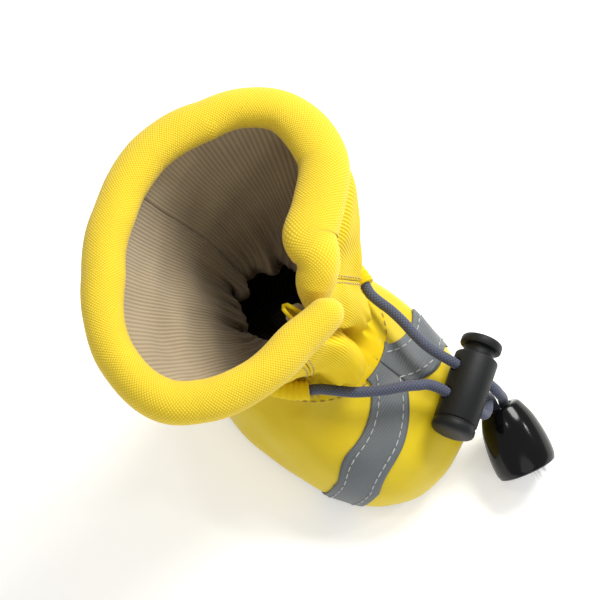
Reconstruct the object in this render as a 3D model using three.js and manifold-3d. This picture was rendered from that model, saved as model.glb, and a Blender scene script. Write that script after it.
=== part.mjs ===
// A small waterproof pet boot: coated-cloth foot, funnel-shaped ribbed cuff, padded collar,
// and a round elastic drawcord that leaves its tunnel at the front, runs through a barrel
// cord lock and ends knotted in a bell-shaped cord end lying on the ground.
// Frame: millimetres, +Z up, toe towards -Y, near side towards -X, far side towards +X.
// The origin is the middle of the outsole's flat centre bar, on the ground.
import * as THREE from 'three';
import { mergeVertices } from 'three/addons/utils/BufferGeometryUtils.js';
import Module from 'manifold-3d';

const wasm = await Module();
wasm.setup();

// ---- driving dimensions ------------------------------------------------------------------
const GAP = 0.3; // play left between pieces that touch
const SOLE = { halfWidth: 24.4, toe: 35.4, heel: 34.4, square: 2.5, base: 1.2, tread: 1.0 };
const GROOVE = { width: 2.2, pitch: 7.2, perSide: 4 };
const FOOT_WALL = 1.0;
const FOOT_LINING = 0.8;
const INSOLE = 2.0;
const CUFF_WALL = 0.9;
const CUFF_LINING = 1.4;
const COLLAR = { radius: 4.1, height: 94 };
const ANKLE_HEIGHT = 37;
const TAPE = { width: 10, thickness: 0.45 };
const CORD = { diameter: 2.8, sides: 8 };
const TUNNEL = { wall: 0.8, play: 0.4 };
const BARREL = { diameter: 11.5, length: 22, floor: 1.8 };
const PLUNGER = { diameter: 8.2, play: 0.3, capDiameter: 11, capHeight: 2.6, travel: 2.2 };
const HOLES = { first: 9.5, spacing: 8, play: 0.4 };
const SPRING = { wire: 0.5, turns: 4 };
const BELL = { length: 18.5, mouth: 7.7, belly: 8.4, waist: 7.2, shoulder: 5.6, wall: 1.6, bore: 3.3 };
const KNOT_RADIUS = 4.1;
const deg = THREE.MathUtils.degToRad;

// ---- the boot's outer skin: a stack of hoops ---------------------------------------------
// Each hoop: height, centre, half width, reach to the front and back, squareness, and how
// far its outline has opened from the ankle's (0) to the collar's (1).
const soleTop = SOLE.base + SOLE.tread;
const ankleRing = { wide: 16.2, front: 18.5, back: 19, square: 2.25 };
// How far a hoop of the foot reaches past the sole's edge at the sides, the toe and the heel.
const beyondSole = (side, toe, heel) => ({
  wide: SOLE.halfWidth + side, front: SOLE.toe + toe, back: SOLE.heel + heel,
});
const hoops = [
  { z: soleTop + GAP, x: -0.5, y: 0, ...beyondSole(-0.4, -0.4, -0.4), square: SOLE.square, flare: 0 },
  { z: 9, x: -0.5, y: 0, ...beyondSole(1.9, 1.6, 1.6), square: SOLE.square, flare: 0 },
  { z: 17, x: 0, y: 1, ...beyondSole(1.6, 1.2, 0.6), square: 2.45, flare: 0 },
  { z: 25, x: 1, y: 6, ...beyondSole(-0.4, -1.4, -4.9), square: 2.3, flare: 0 },
  { z: 31, x: 2, y: 13.5, wide: 20, front: 23.5, back: 22, square: 2, flare: 0 },
  { z: ANKLE_HEIGHT, x: 1.2, y: 17, ...ankleRing, flare: 0 },
  { z: 43, x: 0.8, y: 17.5, ...ankleRing, flare: 0.1 },
  { z: 58, x: -2.5, y: 20, ...ankleRing, flare: 0.42 },
  { z: 76, x: -8.5, y: 24, ...ankleRing, flare: 0.78 },
  { z: COLLAR.height, x: -13.7, y: 26.6, ...ankleRing, flare: 1 },
];
// The collar's outline: angle from straight ahead (towards the near side) and radius.
const collarOutline = [
  [-3, 26.5], [16, 29], [36, 32.1], [57, 35.8], [71, 36.9], [93, 33.1], [112, 29], [131, 26],
  [162, 25.4], [180, 27], [200, 29.6], [228, 33.4], [242, 37], [258, 39], [279, 35.8], [296, 28.5],
  [314, 24], [340, 25.6],
];
const HOOP = { feather: 0, vampTop: 4, ankle: 5, collar: 9 };

// Catmull-Rom between neighbouring hoops, so the skin passes through every hoop smoothly.
const blend = (a, b, c, d, f) =>
  0.5 * (2 * b + (c - a) * f + (2 * a - 5 * b + 4 * c - d) * f * f + (3 * b - a - 3 * c + d) * f ** 3);
function hoopAt(level) {
  const last = hoops.length - 1;
  const i = Math.min(Math.floor(level), last - 1);
  const [a, b, c, d] = [i - 1, i, i + 1, i + 2].map((k) => hoops[THREE.MathUtils.clamp(k, 0, last)]);
  const hoop = {};
  for (const key of Object.keys(b)) hoop[key] = blend(a[key], b[key], c[key], d[key], level - i);
  return hoop;
}

// Radius of the collar's outline at an angle, smooth and closed.
function collarRadius(angle) {
  const n = collarOutline.length;
  const turn = THREE.MathUtils.euclideanModulo(THREE.MathUtils.radToDeg(angle) + 3, 360) - 3;
  let i = n - 1;
  while (i > 0 && collarOutline[i][0] > turn) i--;
  const at = (k) => collarOutline[THREE.MathUtils.euclideanModulo(k, n)];
  const end = i + 1 < n ? at(i + 1)[0] : 360 + at(0)[0];
  return blend(at(i - 1)[1], at(i)[1], at(i + 1)[1], at(i + 2)[1], (turn - at(i)[0]) / (end - at(i)[0]));
}
function ringRadius(hoop, angle) {
  const reach = Math.cos(angle) > 0 ? hoop.front : hoop.back;
  const sum = Math.abs(Math.sin(angle) / hoop.wide) ** hoop.square +
    Math.abs(Math.cos(angle) / reach) ** hoop.square;
  const radius = sum ** (-1 / hoop.square);
  return hoop.flare > 0 ? radius + hoop.flare * (collarRadius(angle) - radius) : radius;
}

// Seams, as angles from straight ahead (positive towards the near side), level by level.
const lerp = THREE.MathUtils.lerp;
const above = (level) => THREE.MathUtils.smoothstep(level, HOOP.ankle, HOOP.collar);
const nearSeam = (level) => lerp(deg(42), deg(15), above(level));
const farSeam = (level) => -lerp(deg(56), deg(27), above(level));
// The tape's middle line on each side, in degrees at levels 0 to 4: the two legs meet at the top.
const tapeDegrees = { near: [53, 50.5, 44, 30, -9], far: [-71, -68.5, -62, -48, -9] };
const tapeApex = deg(tapeDegrees.near[HOOP.vampTop]);
function tapeLine(side, level) {
  const marks = tapeDegrees[side];
  const last = marks.length - 1;
  const i = THREE.MathUtils.clamp(Math.floor(level), 0, last - 1);
  const around = [i - 1, i, i + 1, i + 2].map((k) => marks[THREE.MathUtils.clamp(k, 0, last)]);
  return deg(blend(...around, level - i));
}

// The gusset between the two front seams is too full: it stands out in a large near lobe and
// a small far one, with a fold pushed inwards between them that leans to the near side
// towards the top. Lobes and fold are placed across the gusset, from -1 (far) to 1 (near).
const LOBES = [
  { out: 8, level: 5.4, below: 0.42, above: 1.4, across: 0.36, half: 0.53 },
  { out: 2, level: 5.6, below: 0.8, above: 1.6, across: -0.5, half: 0.5 },
];
const FOLD = { low: 4.5, high: 8, from: -0.06, to: 0.4, width: 0.1, top: 8.4 };
// The far side of the cuff bellies out under the collar.
const BELLY = { out: 5.2, angle: 287, half: 42, from: 5.2, to: 8.2 };
function fullness(level, angle) {
  const { smoothstep } = THREE.MathUtils;
  const round = THREE.MathUtils.euclideanModulo(THREE.MathUtils.radToDeg(angle), 360);
  const side = Math.max(0, 1 - ((round - BELLY.angle) / BELLY.half) ** 2) ** 2;
  const belly = BELLY.out * side * smoothstep(level, BELLY.from, BELLY.to) *
    (1 - smoothstep(level, BELLY.to, HOOP.collar));
  const middle = (nearSeam(level) + farSeam(level)) / 2;
  const half = (nearSeam(level) - farSeam(level)) / 2;
  const across = (angle - middle) / half;
  if (Math.abs(across) >= 1 || level <= HOOP.vampTop) return belly;
  let full = belly;
  for (const lobe of LOBES) {
    const spread = level < lobe.level ? lobe.below : lobe.above;
    const hump = Math.max(0, 1 - ((across - lobe.across) / lobe.half) ** 2) ** 2;
    full += lobe.out * hump * Math.exp(-(((level - lobe.level) / spread) ** 2));
  }
  const depth = lerp(FOLD.low, FOLD.high, smoothstep(level, 6.5, 8.7)) * smoothstep(level, 4.2, 5.2);
  const at = lerp(FOLD.from, FOLD.to, smoothstep(level, 6, 8.7));
  return full - depth * (1 - across ** 8) * Math.exp(-(((across - at) / FOLD.width) ** 2));
}

// A point of the skin, `inward` millimetres under it.
function skin(level, angle, inward = 0) {
  const hoop = hoopAt(level);
  const radius = ringRadius(hoop, angle) + fullness(level, angle);
  const p = new THREE.Vector3(hoop.x - Math.sin(angle) * radius, hoop.y - Math.cos(angle) * radius, hoop.z);
  return inward === 0 ? p : p.addScaledVector(outward(level, angle), -inward);
}
const STEP = 0.02;
function across(level, angle) {
  return skin(level, angle + STEP).sub(skin(level, angle - STEP)).divideScalar(2 * STEP);
}
function upward(level, angle) {
  const low = Math.max(0, level - STEP);
  const high = Math.min(HOOP.collar, level + STEP);
  return skin(high, angle).sub(skin(low, angle)).divideScalar(high - low);
}
const outward = (level, angle) => upward(level, angle).cross(across(level, angle)).normalize();

// ---- helpers that turn points into closed bodies -----------------------------------------
function body(points, triangles) {
  const geometry = new THREE.BufferGeometry();
  geometry.setAttribute('position', new THREE.Float32BufferAttribute(points.flatMap((p) => p.toArray()), 3));
  geometry.setIndex(triangles);
  return geometry;
}

// A panel cut from the skin: `at(i, j)` gives level and angle on a grid of cols x rows,
// columns running towards the near side and rows upwards. It lies between two depths.
function panel(cols, rows, at, depth, thickness) {
  const points = [];
  for (const inward of [depth, depth + thickness]) {
    for (let j = 0; j <= rows; j++) {
      for (let i = 0; i <= cols; i++) {
        const [level, angle] = at(i / cols, j / rows);
        points.push(skin(level, angle, inward));
      }
    }
  }
  const side = (cols + 1) * (rows + 1);
  const id = (i, j, back) => back * side + j * (cols + 1) + i;
  const faces = [];
  const quad = (a, b, c, d) => faces.push(a, b, c, a, c, d);
  for (let j = 0; j < rows; j++) {
    for (let i = 0; i < cols; i++) {
      quad(id(i, j, 0), id(i, j + 1, 0), id(i + 1, j + 1, 0), id(i + 1, j, 0));
      quad(id(i, j, 1), id(i + 1, j, 1), id(i + 1, j + 1, 1), id(i, j + 1, 1));
    }
    quad(id(0, j, 0), id(0, j, 1), id(0, j + 1, 1), id(0, j + 1, 0));
    quad(id(cols, j, 0), id(cols, j + 1, 0), id(cols, j + 1, 1), id(cols, j, 1));
  }
  for (let i = 0; i < cols; i++) {
    quad(id(i, 0, 0), id(i + 1, 0, 0), id(i + 1, 0, 1), id(i, 0, 1));
    quad(id(i, rows, 0), id(i, rows, 1), id(i + 1, rows, 1), id(i + 1, rows, 0));
  }
  return body(points, faces);
}

// Rings of equal size joined in order and closed at both ends.
function loft(rings) {
  const n = rings[0].length;
  const points = rings.flat();
  const faces = [];
  for (let k = 0; k + 1 < rings.length; k++) {
    for (let i = 0; i < n; i++) {
      const [a, b] = [k * n + i, k * n + ((i + 1) % n)];
      faces.push(a, b, b + n, a, b + n, a + n);
    }
  }
  for (const [ring, first] of [[rings[0], true], [rings[rings.length - 1], false]]) {
    const hub = points.push(ring.reduce((s, p) => s.add(p), new THREE.Vector3()).divideScalar(n)) - 1;
    const base = first ? 0 : (rings.length - 1) * n;
    for (let i = 0; i < n; i++) {
      const [a, b] = [base + i, base + ((i + 1) % n)];
      faces.push(...(first ? [hub, b, a] : [hub, a, b]));
    }
  }
  return body(points, faces);
}

// A tube along a curve, with an optional bore.
function tube(curve, radius, sides, steps, bore = 0) {
  const ring = (r) => Array.from({ length: sides }, (_, i) =>
    new THREE.Vector2(r * Math.cos((i / sides) * 2 * Math.PI), r * Math.sin((i / sides) * 2 * Math.PI)));
  const section = new THREE.Shape(ring(radius));
  if (bore > 0) section.holes.push(new THREE.Path(ring(bore)));
  return new THREE.ExtrudeGeometry(section, { steps, extrudePath: curve, bevelEnabled: false, curveSegments: 1 });
}

function toManifold(geometry) {
  const bare = geometry.clone();
  for (const name of Object.keys(bare.attributes)) if (name !== 'position') bare.deleteAttribute(name);
  const merged = mergeVertices(bare, 1e-4);
  return new wasm.Manifold(new wasm.Mesh({
    numProp: 3,
    vertProperties: new Float32Array(merged.attributes.position.array),
    triVerts: new Uint32Array(merged.index.array),
  }));
}
function cut(geometry, tools) {
  let solid = toManifold(geometry);
  for (const tool of tools) solid = solid.subtract(toManifold(tool));
  const mesh = solid.getMesh();
  const result = new THREE.BufferGeometry();
  result.setAttribute('position', new THREE.BufferAttribute(mesh.vertProperties, 3));
  result.setIndex(new THREE.BufferAttribute(mesh.triVerts, 1));
  return result;
}

// ---- materials and the assembly ----------------------------------------------------------
const finish = {
  coated: [0xe0d028, 0.45, 0],
  ribbed: [0xe6d53a, 0.7, 0],
  binding: [0xeedb55, 0.8, 0],
  lining: [0xb6a98f, 0.95, 0],
  tape: [0x60666a, 0.5, 0],
  rubber: [0x2c2d2c, 0.8, 0],
  cord: [0x3c4252, 0.6, 0],
  plastic: [0x2b2f30, 0.6, 0],
  gloss: [0x0b0c0d, 0.15, 0],
  steel: [0x9a9da0, 0.35, 1],
};
const boot = new THREE.Group();
function add(name, geometry, kind, parent = boot) {
  const [color, roughness, metalness] = finish[kind];
  const mesh = new THREE.Mesh(geometry, new THREE.MeshStandardMaterial({ color, roughness, metalness }));
  mesh.name = name;
  parent.add(mesh);
  return mesh;
}

// ---- sole --------------------------------------------------------------------------------
function outline(inset, count = 46) {
  const points = [];
  for (let i = 0; i < count; i++) {
    const angle = ((i + 0.25) / count) * 2 * Math.PI;
    const [s, c] = [Math.sin(angle), -Math.cos(angle)];
    const reach = c < 0 ? SOLE.toe : SOLE.heel;
    const sum = Math.abs(s / (SOLE.halfWidth - inset)) ** SOLE.square +
      Math.abs(c / (reach - inset)) ** SOLE.square;
    const radius = sum ** (-1 / SOLE.square);
    points.push(new THREE.Vector2(s * radius, c * radius));
  }
  return new THREE.Shape(points);
}
const plate = (inset, thickness) =>
  new THREE.ExtrudeGeometry(outline(inset), { depth: thickness, bevelEnabled: false, curveSegments: 1 });

// Grooves run across the tread on both sides of a flat bar left in the middle.
const grooves = [];
for (let k = 0; k < GROOVE.perSide; k++) {
  for (const side of [-1, 1]) {
    const groove = new THREE.BoxGeometry(4 * SOLE.halfWidth, GROOVE.width, 2 * SOLE.tread);
    grooves.push(groove.translate(0, side * (k + 0.75) * GROOVE.pitch, 0));
  }
}
add('outsole', cut(plate(0, soleTop), grooves), 'rubber');

const insoleInset = FOOT_WALL + FOOT_LINING + 5 * GAP;
add('insole', plate(insoleInset, INSOLE).translate(0, 0, soleTop + GAP), 'lining');

// ---- foot --------------------------------------------------------------------------------
// Angle that half a gap takes up at a level, so that neighbours stay a gap apart.
const halfGap = (level, angle) => (GAP / 2) / across(level, angle).length();
const levelGap = (level, angle) => (GAP / 2) / upward(level, angle).length();

// The apex of the tape's V is cut off where the toe cap gets narrow.
const TOE_TOP = HOOP.vampTop - 0.12;
const between = (from, to, f) => from + (to - from) * f;
add('toe_cap', panel(16, 12, (u, v) => {
  const level = TOE_TOP * v;
  const [low, high] = [tapeLine('far', level), tapeLine('near', level)];
  return [level, between(low + 2 * halfGap(level, low), high - 2 * halfGap(level, high), u)];
}, 0, FOOT_WALL), 'coated');

function quarter(side) {
  return panel(14, 9, (u, v) => {
    const level = TOE_TOP * v;
    const seam = tapeLine(side, level);
    const edge = 2 * halfGap(level, seam);
    const heel = Math.PI - halfGap(level, Math.PI);
    return [level, side === 'near' ? between(seam + edge, heel, u) : between(-heel, seam - edge, u)];
  }, 0, FOOT_WALL);
}
for (const side of ['near', 'far']) add(`quarter_${side}`, quarter(side), 'coated');

function footLining(from, to) {
  return panel(20, 9, (u, v) => {
    const level = TOE_TOP * v;
    const [low, high] = [from + halfGap(level, from), to - halfGap(level, to)];
    return [level, between(low, high, u)];
  }, FOOT_WALL + 2 * GAP, FOOT_LINING);
}
add('foot_lining_near', footLining(0, Math.PI), 'lining');
add('foot_lining_far', footLining(-Math.PI, 0), 'lining');

// Reflective tape over the seam between toe cap and quarter, mitred at the apex.
function tape(side) {
  const foot = 0.1;
  return panel(3, 20, (u, v) => {
    const level = between(foot, HOOP.vampTop - 0.05, v);
    const angle = tapeLine(side, level);
    const slope = (tapeLine(side, level + 0.01) - tapeLine(side, level - 0.01)) / 0.02;
    const sideways = across(level, angle).multiplyScalar(slope);
    const stretch = sideways.add(upward(level, angle)).length() / upward(level, angle).length();
    const half = (TAPE.width / 2 / across(level, angle).length()) * stretch;
    const edge = halfGap(level, tapeApex);
    const [low, high] = [angle - half, angle + half];
    if (side === 'near') {
      return [level, between(Math.max(low, tapeApex + edge), Math.max(high, tapeApex + 2 * edge), u)];
    }
    return [level, between(Math.min(low, tapeApex - 2 * edge), Math.min(high, tapeApex - edge), u)];
  }, -GAP - TAPE.thickness, TAPE.thickness);
}
for (const side of ['near', 'far']) add(`tape_${side}`, tape(side), 'tape');

// ---- cuff --------------------------------------------------------------------------------
// The collar roll goes once round; its near end laps over its far end at the front.
// The roll is flatter and wider in places; its outer edge keeps to the outline.
const LAP = { nearEnd: deg(-14), farEnd: deg(353), over: deg(30), side: 3.2, drop: 5.5 };
const rollWidths = [
  [-14, 3.9], [20, 4.6], [60, 4.9], [100, 4.6], [140, 4.9], [180, 5.2], [240, 4.8], [280, 6], [310, 6.4],
  [335, 4.6], [353, 2.5],
];
function rollHalf(angle) {
  const turn = THREE.MathUtils.radToDeg(angle);
  const k = Math.max(1, rollWidths.findIndex(([at]) => at >= turn - 1e-9));
  const [[a, low], [b, high]] = [rollWidths[k - 1], rollWidths[k]];
  return lerp(low, high, THREE.MathUtils.smoothstep(turn, a, b));
}
function collarLine(f) {
  const angle = between(LAP.nearEnd, LAP.farEnd, f);
  const nearEnd = 1 - THREE.MathUtils.smoothstep(angle - LAP.nearEnd, 0, LAP.over);
  const farEnd = 1 - THREE.MathUtils.smoothstep(LAP.farEnd - angle, 0, LAP.over);
  const p = skin(HOOP.collar, angle);
  const out = new THREE.Vector3(-Math.sin(angle), -Math.cos(angle), 0);
  const half = rollHalf(angle);
  p.addScaledVector(out, LAP.side * (nearEnd - farEnd) + COLLAR.radius - half);
  p.z -= LAP.drop * farEnd;
  return { p, half, high: Math.min(COLLAR.radius, half) };
}

// Panels stop just under the collar roll, clear of it from their outer to their inner face.
const collarPoints = Array.from({ length: 240 }, (_, k) => collarLine(k / 239));
const cuffDepth = CUFF_WALL + GAP + CUFF_LINING;
function cuffTop(angle) {
  const clear = (q) => collarPoints.every(({ p, half, high }) =>
    Math.hypot(Math.hypot(q.x - p.x, q.y - p.y) / (half + 2 * GAP), (q.z - p.z) / (high + 2 * GAP)) > 1);
  let level = HOOP.collar;
  while (![0, 0.5, 1].every((f) => clear(skin(level, angle, f * cuffDepth)))) level -= STEP / 2;
  return level;
}
function cuffPanel(cols, rows, from, to, depth, thickness, highest = HOOP.collar) {
  return panel(cols, rows, (u, v) => {
    const low = HOOP.vampTop + levelGap(HOOP.vampTop, 0);
    const guess = between(from(HOOP.collar), to(HOOP.collar), u);
    const level = between(low, Math.min(cuffTop(guess), highest), v);
    const edges = [from(level) + halfGap(level, from(level)), to(level) - halfGap(level, to(level))];
    return [level, between(edges[0], edges[1], u)];
  }, depth, thickness);
}
const back = () => Math.PI;
const backFar = () => -Math.PI;
add('cuff_panel_near', cuffPanel(12, 8, nearSeam, back, 0, CUFF_WALL), 'ribbed');
add('cuff_panel_far', cuffPanel(12, 8, backFar, farSeam, 0, CUFF_WALL), 'ribbed');
add('front_gusset', cuffPanel(16, 10, farSeam, nearSeam, 0, CUFF_WALL, FOLD.top), 'ribbed');
const liningDepth = CUFF_WALL + GAP;
add('cuff_lining_near', cuffPanel(12, 8, nearSeam, back, liningDepth, CUFF_LINING), 'lining');
add('cuff_lining_far', cuffPanel(12, 8, backFar, farSeam, liningDepth, CUFF_LINING), 'lining');
add('gusset_lining', cuffPanel(16, 10, farSeam, nearSeam, liningDepth, CUFF_LINING, FOLD.top), 'lining');

function collar(steps, sides) {
  const rings = [];
  const round = [0.35, 0.75, 1];
  for (let k = 0; k <= steps; k++) {
    const f = k / steps;
    const { p: centre, half, high } = collarLine(f);
    const along = collarLine(Math.min(1, f + 0.004)).p.sub(collarLine(Math.max(0, f - 0.004)).p).normalize();
    const side = new THREE.Vector3(0, 0, 1).cross(along).normalize();
    const up = along.clone().cross(side).normalize();
    const fromEnd = Math.min(k, steps - k);
    const scale = round[fromEnd] ?? 1;
    rings.push(Array.from({ length: sides }, (_, i) => {
      const a = (i / sides) * 2 * Math.PI;
      return centre.clone().addScaledVector(side, scale * half * Math.cos(a))
        .addScaledVector(up, scale * high * Math.sin(a));
    }));
  }
  return loft(rings);
}
add('collar_binding', collar(44, 10), 'binding');

// ---- drawcord and its tunnel -------------------------------------------------------------
const cordRadius = CORD.diameter / 2;
const tunnelBore = cordRadius + TUNNEL.play;
const tunnelRadius = tunnelBore + TUNNEL.wall;
const MOUTH = { near: deg(40), far: deg(302) };
class TunnelLine extends THREE.Curve {
  constructor(shorter = 0) {
    super();
    this.shorter = shorter;
  }
  getPoint(f, target = new THREE.Vector3()) {
    const trim = this.shorter / across(HOOP.ankle, MOUTH.near).length();
    const angle = between(MOUTH.near + trim, MOUTH.far - trim, f);
    const hoop = hoopAt(HOOP.ankle);
    const radius = ringRadius(hoop, angle) + tunnelRadius + 3 * GAP;
    return target.set(hoop.x - Math.sin(angle) * radius, hoop.y - Math.cos(angle) * radius, hoop.z);
  }
}
add('drawcord_tunnel', tube(new TunnelLine(), tunnelRadius, 8, 26, tunnelBore), 'coated');
add('drawcord_in_tunnel', tube(new TunnelLine(), cordRadius, CORD.sides, 26), 'cord');

// ---- cord lock ---------------------------------------------------------------------------
// Local axes of the lock: +Z along the barrel towards the button, +Y back along the cords
// towards the ankle. Its own origin is the outside of the closed end.
const LOCK = { x: 14.5, y: -30.2, z: 21.9 + 0.6 * BARREL.diameter, heading: deg(17.3), rise: deg(35) };
const lock = new THREE.Group();
const lockAxis = new THREE.Vector3(Math.cos(LOCK.heading), Math.sin(LOCK.heading), 0);
const cordAxis = new THREE.Vector3(-Math.sin(LOCK.heading) * Math.cos(LOCK.rise),
  Math.cos(LOCK.heading) * Math.cos(LOCK.rise), Math.sin(LOCK.rise));
const lockSide = cordAxis.clone().cross(lockAxis);
const buttonTop = BARREL.length + PLUNGER.travel + GAP + PLUNGER.capHeight;
lock.quaternion.setFromRotationMatrix(new THREE.Matrix4().makeBasis(lockSide, cordAxis, lockAxis));
lock.position.set(LOCK.x, LOCK.y, LOCK.z).addScaledVector(lockAxis, -buttonTop / 2);
boot.add(lock);

const lathe = (profile, segments = 28) =>
  new THREE.LatheGeometry(profile.map(([r, z]) => new THREE.Vector2(r, z)), segments).rotateX(Math.PI / 2);
const holeRadius = cordRadius + HOLES.play;
const holes = [HOLES.first, HOLES.first + HOLES.spacing];
const barrelRadius = BARREL.diameter / 2;
const boreRadius = PLUNGER.diameter / 2 + PLUNGER.play;
const barrelProfile = [
  [0, 0], [barrelRadius - 1.2, 0], [barrelRadius - 0.35, 0.35], [barrelRadius, 1.2],
  [barrelRadius, 2.6], [barrelRadius - 0.35, 2.9], [barrelRadius - 0.35, 3.5], [barrelRadius, 3.8],
  [barrelRadius, BARREL.length - 0.5], [barrelRadius - 0.5, BARREL.length],
  [boreRadius, BARREL.length], [boreRadius, BARREL.floor], [0, BARREL.floor],
];
const crossHole = (z) => new THREE.CylinderGeometry(holeRadius, holeRadius, 2 * BARREL.diameter, 16)
  .rotateY(deg(9)).translate(0, 0, z);
add('lock_barrel', cut(lathe(barrelProfile), holes.map(crossHole)), 'plastic', lock);

// At rest the spring holds the button out, and the lower edges of the windows press on the
// cords; pushed in by its travel, the windows line up with the holes.
const windowFoot = cordRadius + GAP;
const windowLength = 2 * windowFoot + PLUNGER.travel;
const stemFoot = HOLES.first - windowFoot - 1;
const stemRadius = PLUNGER.diameter / 2;
const capRadius = PLUNGER.capDiameter / 2;
const capFoot = buttonTop - PLUNGER.capHeight;
const plungerProfile = [
  [0, stemFoot], [stemRadius - 0.3, stemFoot], [stemRadius, stemFoot + 0.3], [stemRadius, capFoot],
  [capRadius - 0.3, capFoot], [capRadius, capFoot + 0.3], [capRadius, buttonTop - 0.8],
  [capRadius - 0.8, buttonTop], [0, buttonTop],
];
const windowCut = (z) => new THREE.BoxGeometry(CORD.diameter + 2 * GAP, 2 * BARREL.diameter, windowLength)
  .translate(0, 0, z - windowFoot + windowLength / 2);
add('lock_plunger', cut(lathe(plungerProfile), holes.map(windowCut)), 'plastic', lock);

const springRadius = stemRadius - 1;
const springFoot = BARREL.floor + GAP + SPRING.wire / 2;
const springTop = stemFoot - GAP - SPRING.wire / 2;
class SpringLine extends THREE.Curve {
  getPoint(f, target = new THREE.Vector3()) {
    const a = f * SPRING.turns * 2 * Math.PI;
    return target.set(springRadius * Math.cos(a), springRadius * Math.sin(a), between(springFoot, springTop, f));
  }
}
add('lock_spring', tube(new SpringLine(), SPRING.wire / 2, 5, 12 * SPRING.turns), 'steel', lock);

// ---- bell and knot -----------------------------------------------------------------------
// The bell rests on the rim of its mouth; its local +Z runs from the small end to the mouth.
const BELL_AT = { x: 20, y: -38.5, z: 13.65, heading: deg(26.5), dip: deg(20) };
const bell = new THREE.Group();
bell.position.set(BELL_AT.x, BELL_AT.y, BELL_AT.z);
bell.quaternion.setFromUnitVectors(new THREE.Vector3(0, 0, 1),
  new THREE.Vector3(-Math.sin(BELL_AT.heading) * Math.cos(BELL_AT.dip),
    -Math.cos(BELL_AT.heading) * Math.cos(BELL_AT.dip), -Math.sin(BELL_AT.dip)));
boot.add(bell);
const bellProfile = [
  [BELL.bore, 0], [BELL.shoulder - 1, 0], [BELL.shoulder, 0.9], [BELL.waist, 4.7], [BELL.belly - 0.2, 10],
  [BELL.belly, 14], [BELL.belly - 0.15, BELL.length - 1.5], [BELL.mouth, BELL.length],
  [BELL.mouth - 1, BELL.length - 0.4], [BELL.belly - BELL.wall, 14], [BELL.belly - 0.2 - BELL.wall, 10],
  [BELL.waist - BELL.wall, 5.3], [BELL.bore, 2.6],
];
add('bell', lathe([...bellProfile, bellProfile[0]], 32), 'gloss', bell);
const KNOT_AT = 8.6;
add('cord_knot', new THREE.SphereGeometry(KNOT_RADIUS, 12, 8).translate(0, 0, KNOT_AT), 'cord', bell);

// ---- free cord ends ----------------------------------------------------------------------
// Each strand leaves its tunnel mouth, passes the lock and drops into the bell.
const routes = {
  drawcord_near_upper: [
    [-12.49, 0.22, 37], [-10.9, -1.44, 37], [-8.9, -4.7, 37], [-6.2, -9, 36.9], [-1.2, -14.6, 36.6],
    [3, -18.3, 36.2], [5.6, -20.9, 35.6], [7.3, -22.4, 34.7], [8.68, -25.15, 33.39], [9.23, -26.91, 32.1],
    [10.6, -31.29, 28.89],
  ],
  drawcord_far_upper: [
    [18.68, 5.73, 37], [17.6, 3.3, 37], [17.3, 0.6, 36.8], [17.3, -2.9, 36.5], [16.8, -7.4, 36.1],
    [15.9, -11.8, 35.7], [15.4, -15.9, 35.3], [15.6, -19.4, 34.7], [16.32, -22.77, 33.39],
    [16.87, -24.53, 32.1], [18.23, -28.91, 28.89],
  ],
  drawcord_near_lower: [
    [10.67, -31.52, 28.71], [12.03, -35.9, 25.5], [12.9, -37.4, 22.9], [15.2, -37.1, 20.9],
    [17.5, -35.8, 19.5], [19.1, -35, 17.5], [19.4, -35.9, 15.3], [18.71, -37.84, 13.65],
    [16.95, -41.37, 12.21],
  ],
  drawcord_far_lower: [
    [18.31, -29.14, 28.71], [19.67, -33.52, 25.5], [20.3, -35.9, 22.8], [20.9, -37.2, 19.6],
    [21.6, -38, 16.4], [21.29, -39.16, 13.65], [19.53, -42.69, 12.21],
  ],
};
for (const [name, points] of Object.entries(routes)) {
  const curve = new THREE.CatmullRomCurve3(points.map((p) => new THREE.Vector3(...p)), false, 'centripetal');
  add(name, tube(curve, cordRadius, CORD.sides, Math.round(curve.getLength() / (1.1 * CORD.diameter))), 'cord');
}

export default boot;
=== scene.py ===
# %% [markdown]
# # A small waterproof pet boot
# The boot is a foot of smooth coated cloth, a funnel cuff of ribbed cloth with a fleecy lining,
# a padded collar, and a round elastic drawcord. The cord comes out of its tunnel at the front,
# runs through a barrel lock and ends in a bell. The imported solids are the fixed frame, in
# metres, so every finished piece is built where its solid says.

# %% Load the frame
import math

import bmesh
import bpy
import numpy as np
from mathutils import Matrix, Vector


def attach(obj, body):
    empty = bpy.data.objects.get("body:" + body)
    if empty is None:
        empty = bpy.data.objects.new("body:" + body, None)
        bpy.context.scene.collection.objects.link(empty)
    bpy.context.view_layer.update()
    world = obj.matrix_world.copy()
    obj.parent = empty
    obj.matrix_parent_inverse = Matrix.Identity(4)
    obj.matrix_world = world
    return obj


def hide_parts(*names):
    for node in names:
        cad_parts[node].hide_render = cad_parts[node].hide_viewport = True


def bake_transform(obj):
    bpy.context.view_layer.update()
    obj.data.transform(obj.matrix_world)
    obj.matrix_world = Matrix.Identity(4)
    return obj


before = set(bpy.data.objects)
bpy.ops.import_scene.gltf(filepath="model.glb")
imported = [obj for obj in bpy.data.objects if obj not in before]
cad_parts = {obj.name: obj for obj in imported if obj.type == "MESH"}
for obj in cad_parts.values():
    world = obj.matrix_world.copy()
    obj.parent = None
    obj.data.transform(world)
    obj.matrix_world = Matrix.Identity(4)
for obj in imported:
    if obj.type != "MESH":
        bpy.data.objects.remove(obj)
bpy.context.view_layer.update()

MM = 0.001

# %% [markdown]
# ## Camera, floor and light
# The boot is seen steeply from above and from the near front side, with a long lens, so the
# view into the cuff is almost a plan. A white room with one broad lamp on the far side gives
# soft shade on the yellow cloth and a weak shadow on the floor towards the near side.

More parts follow.
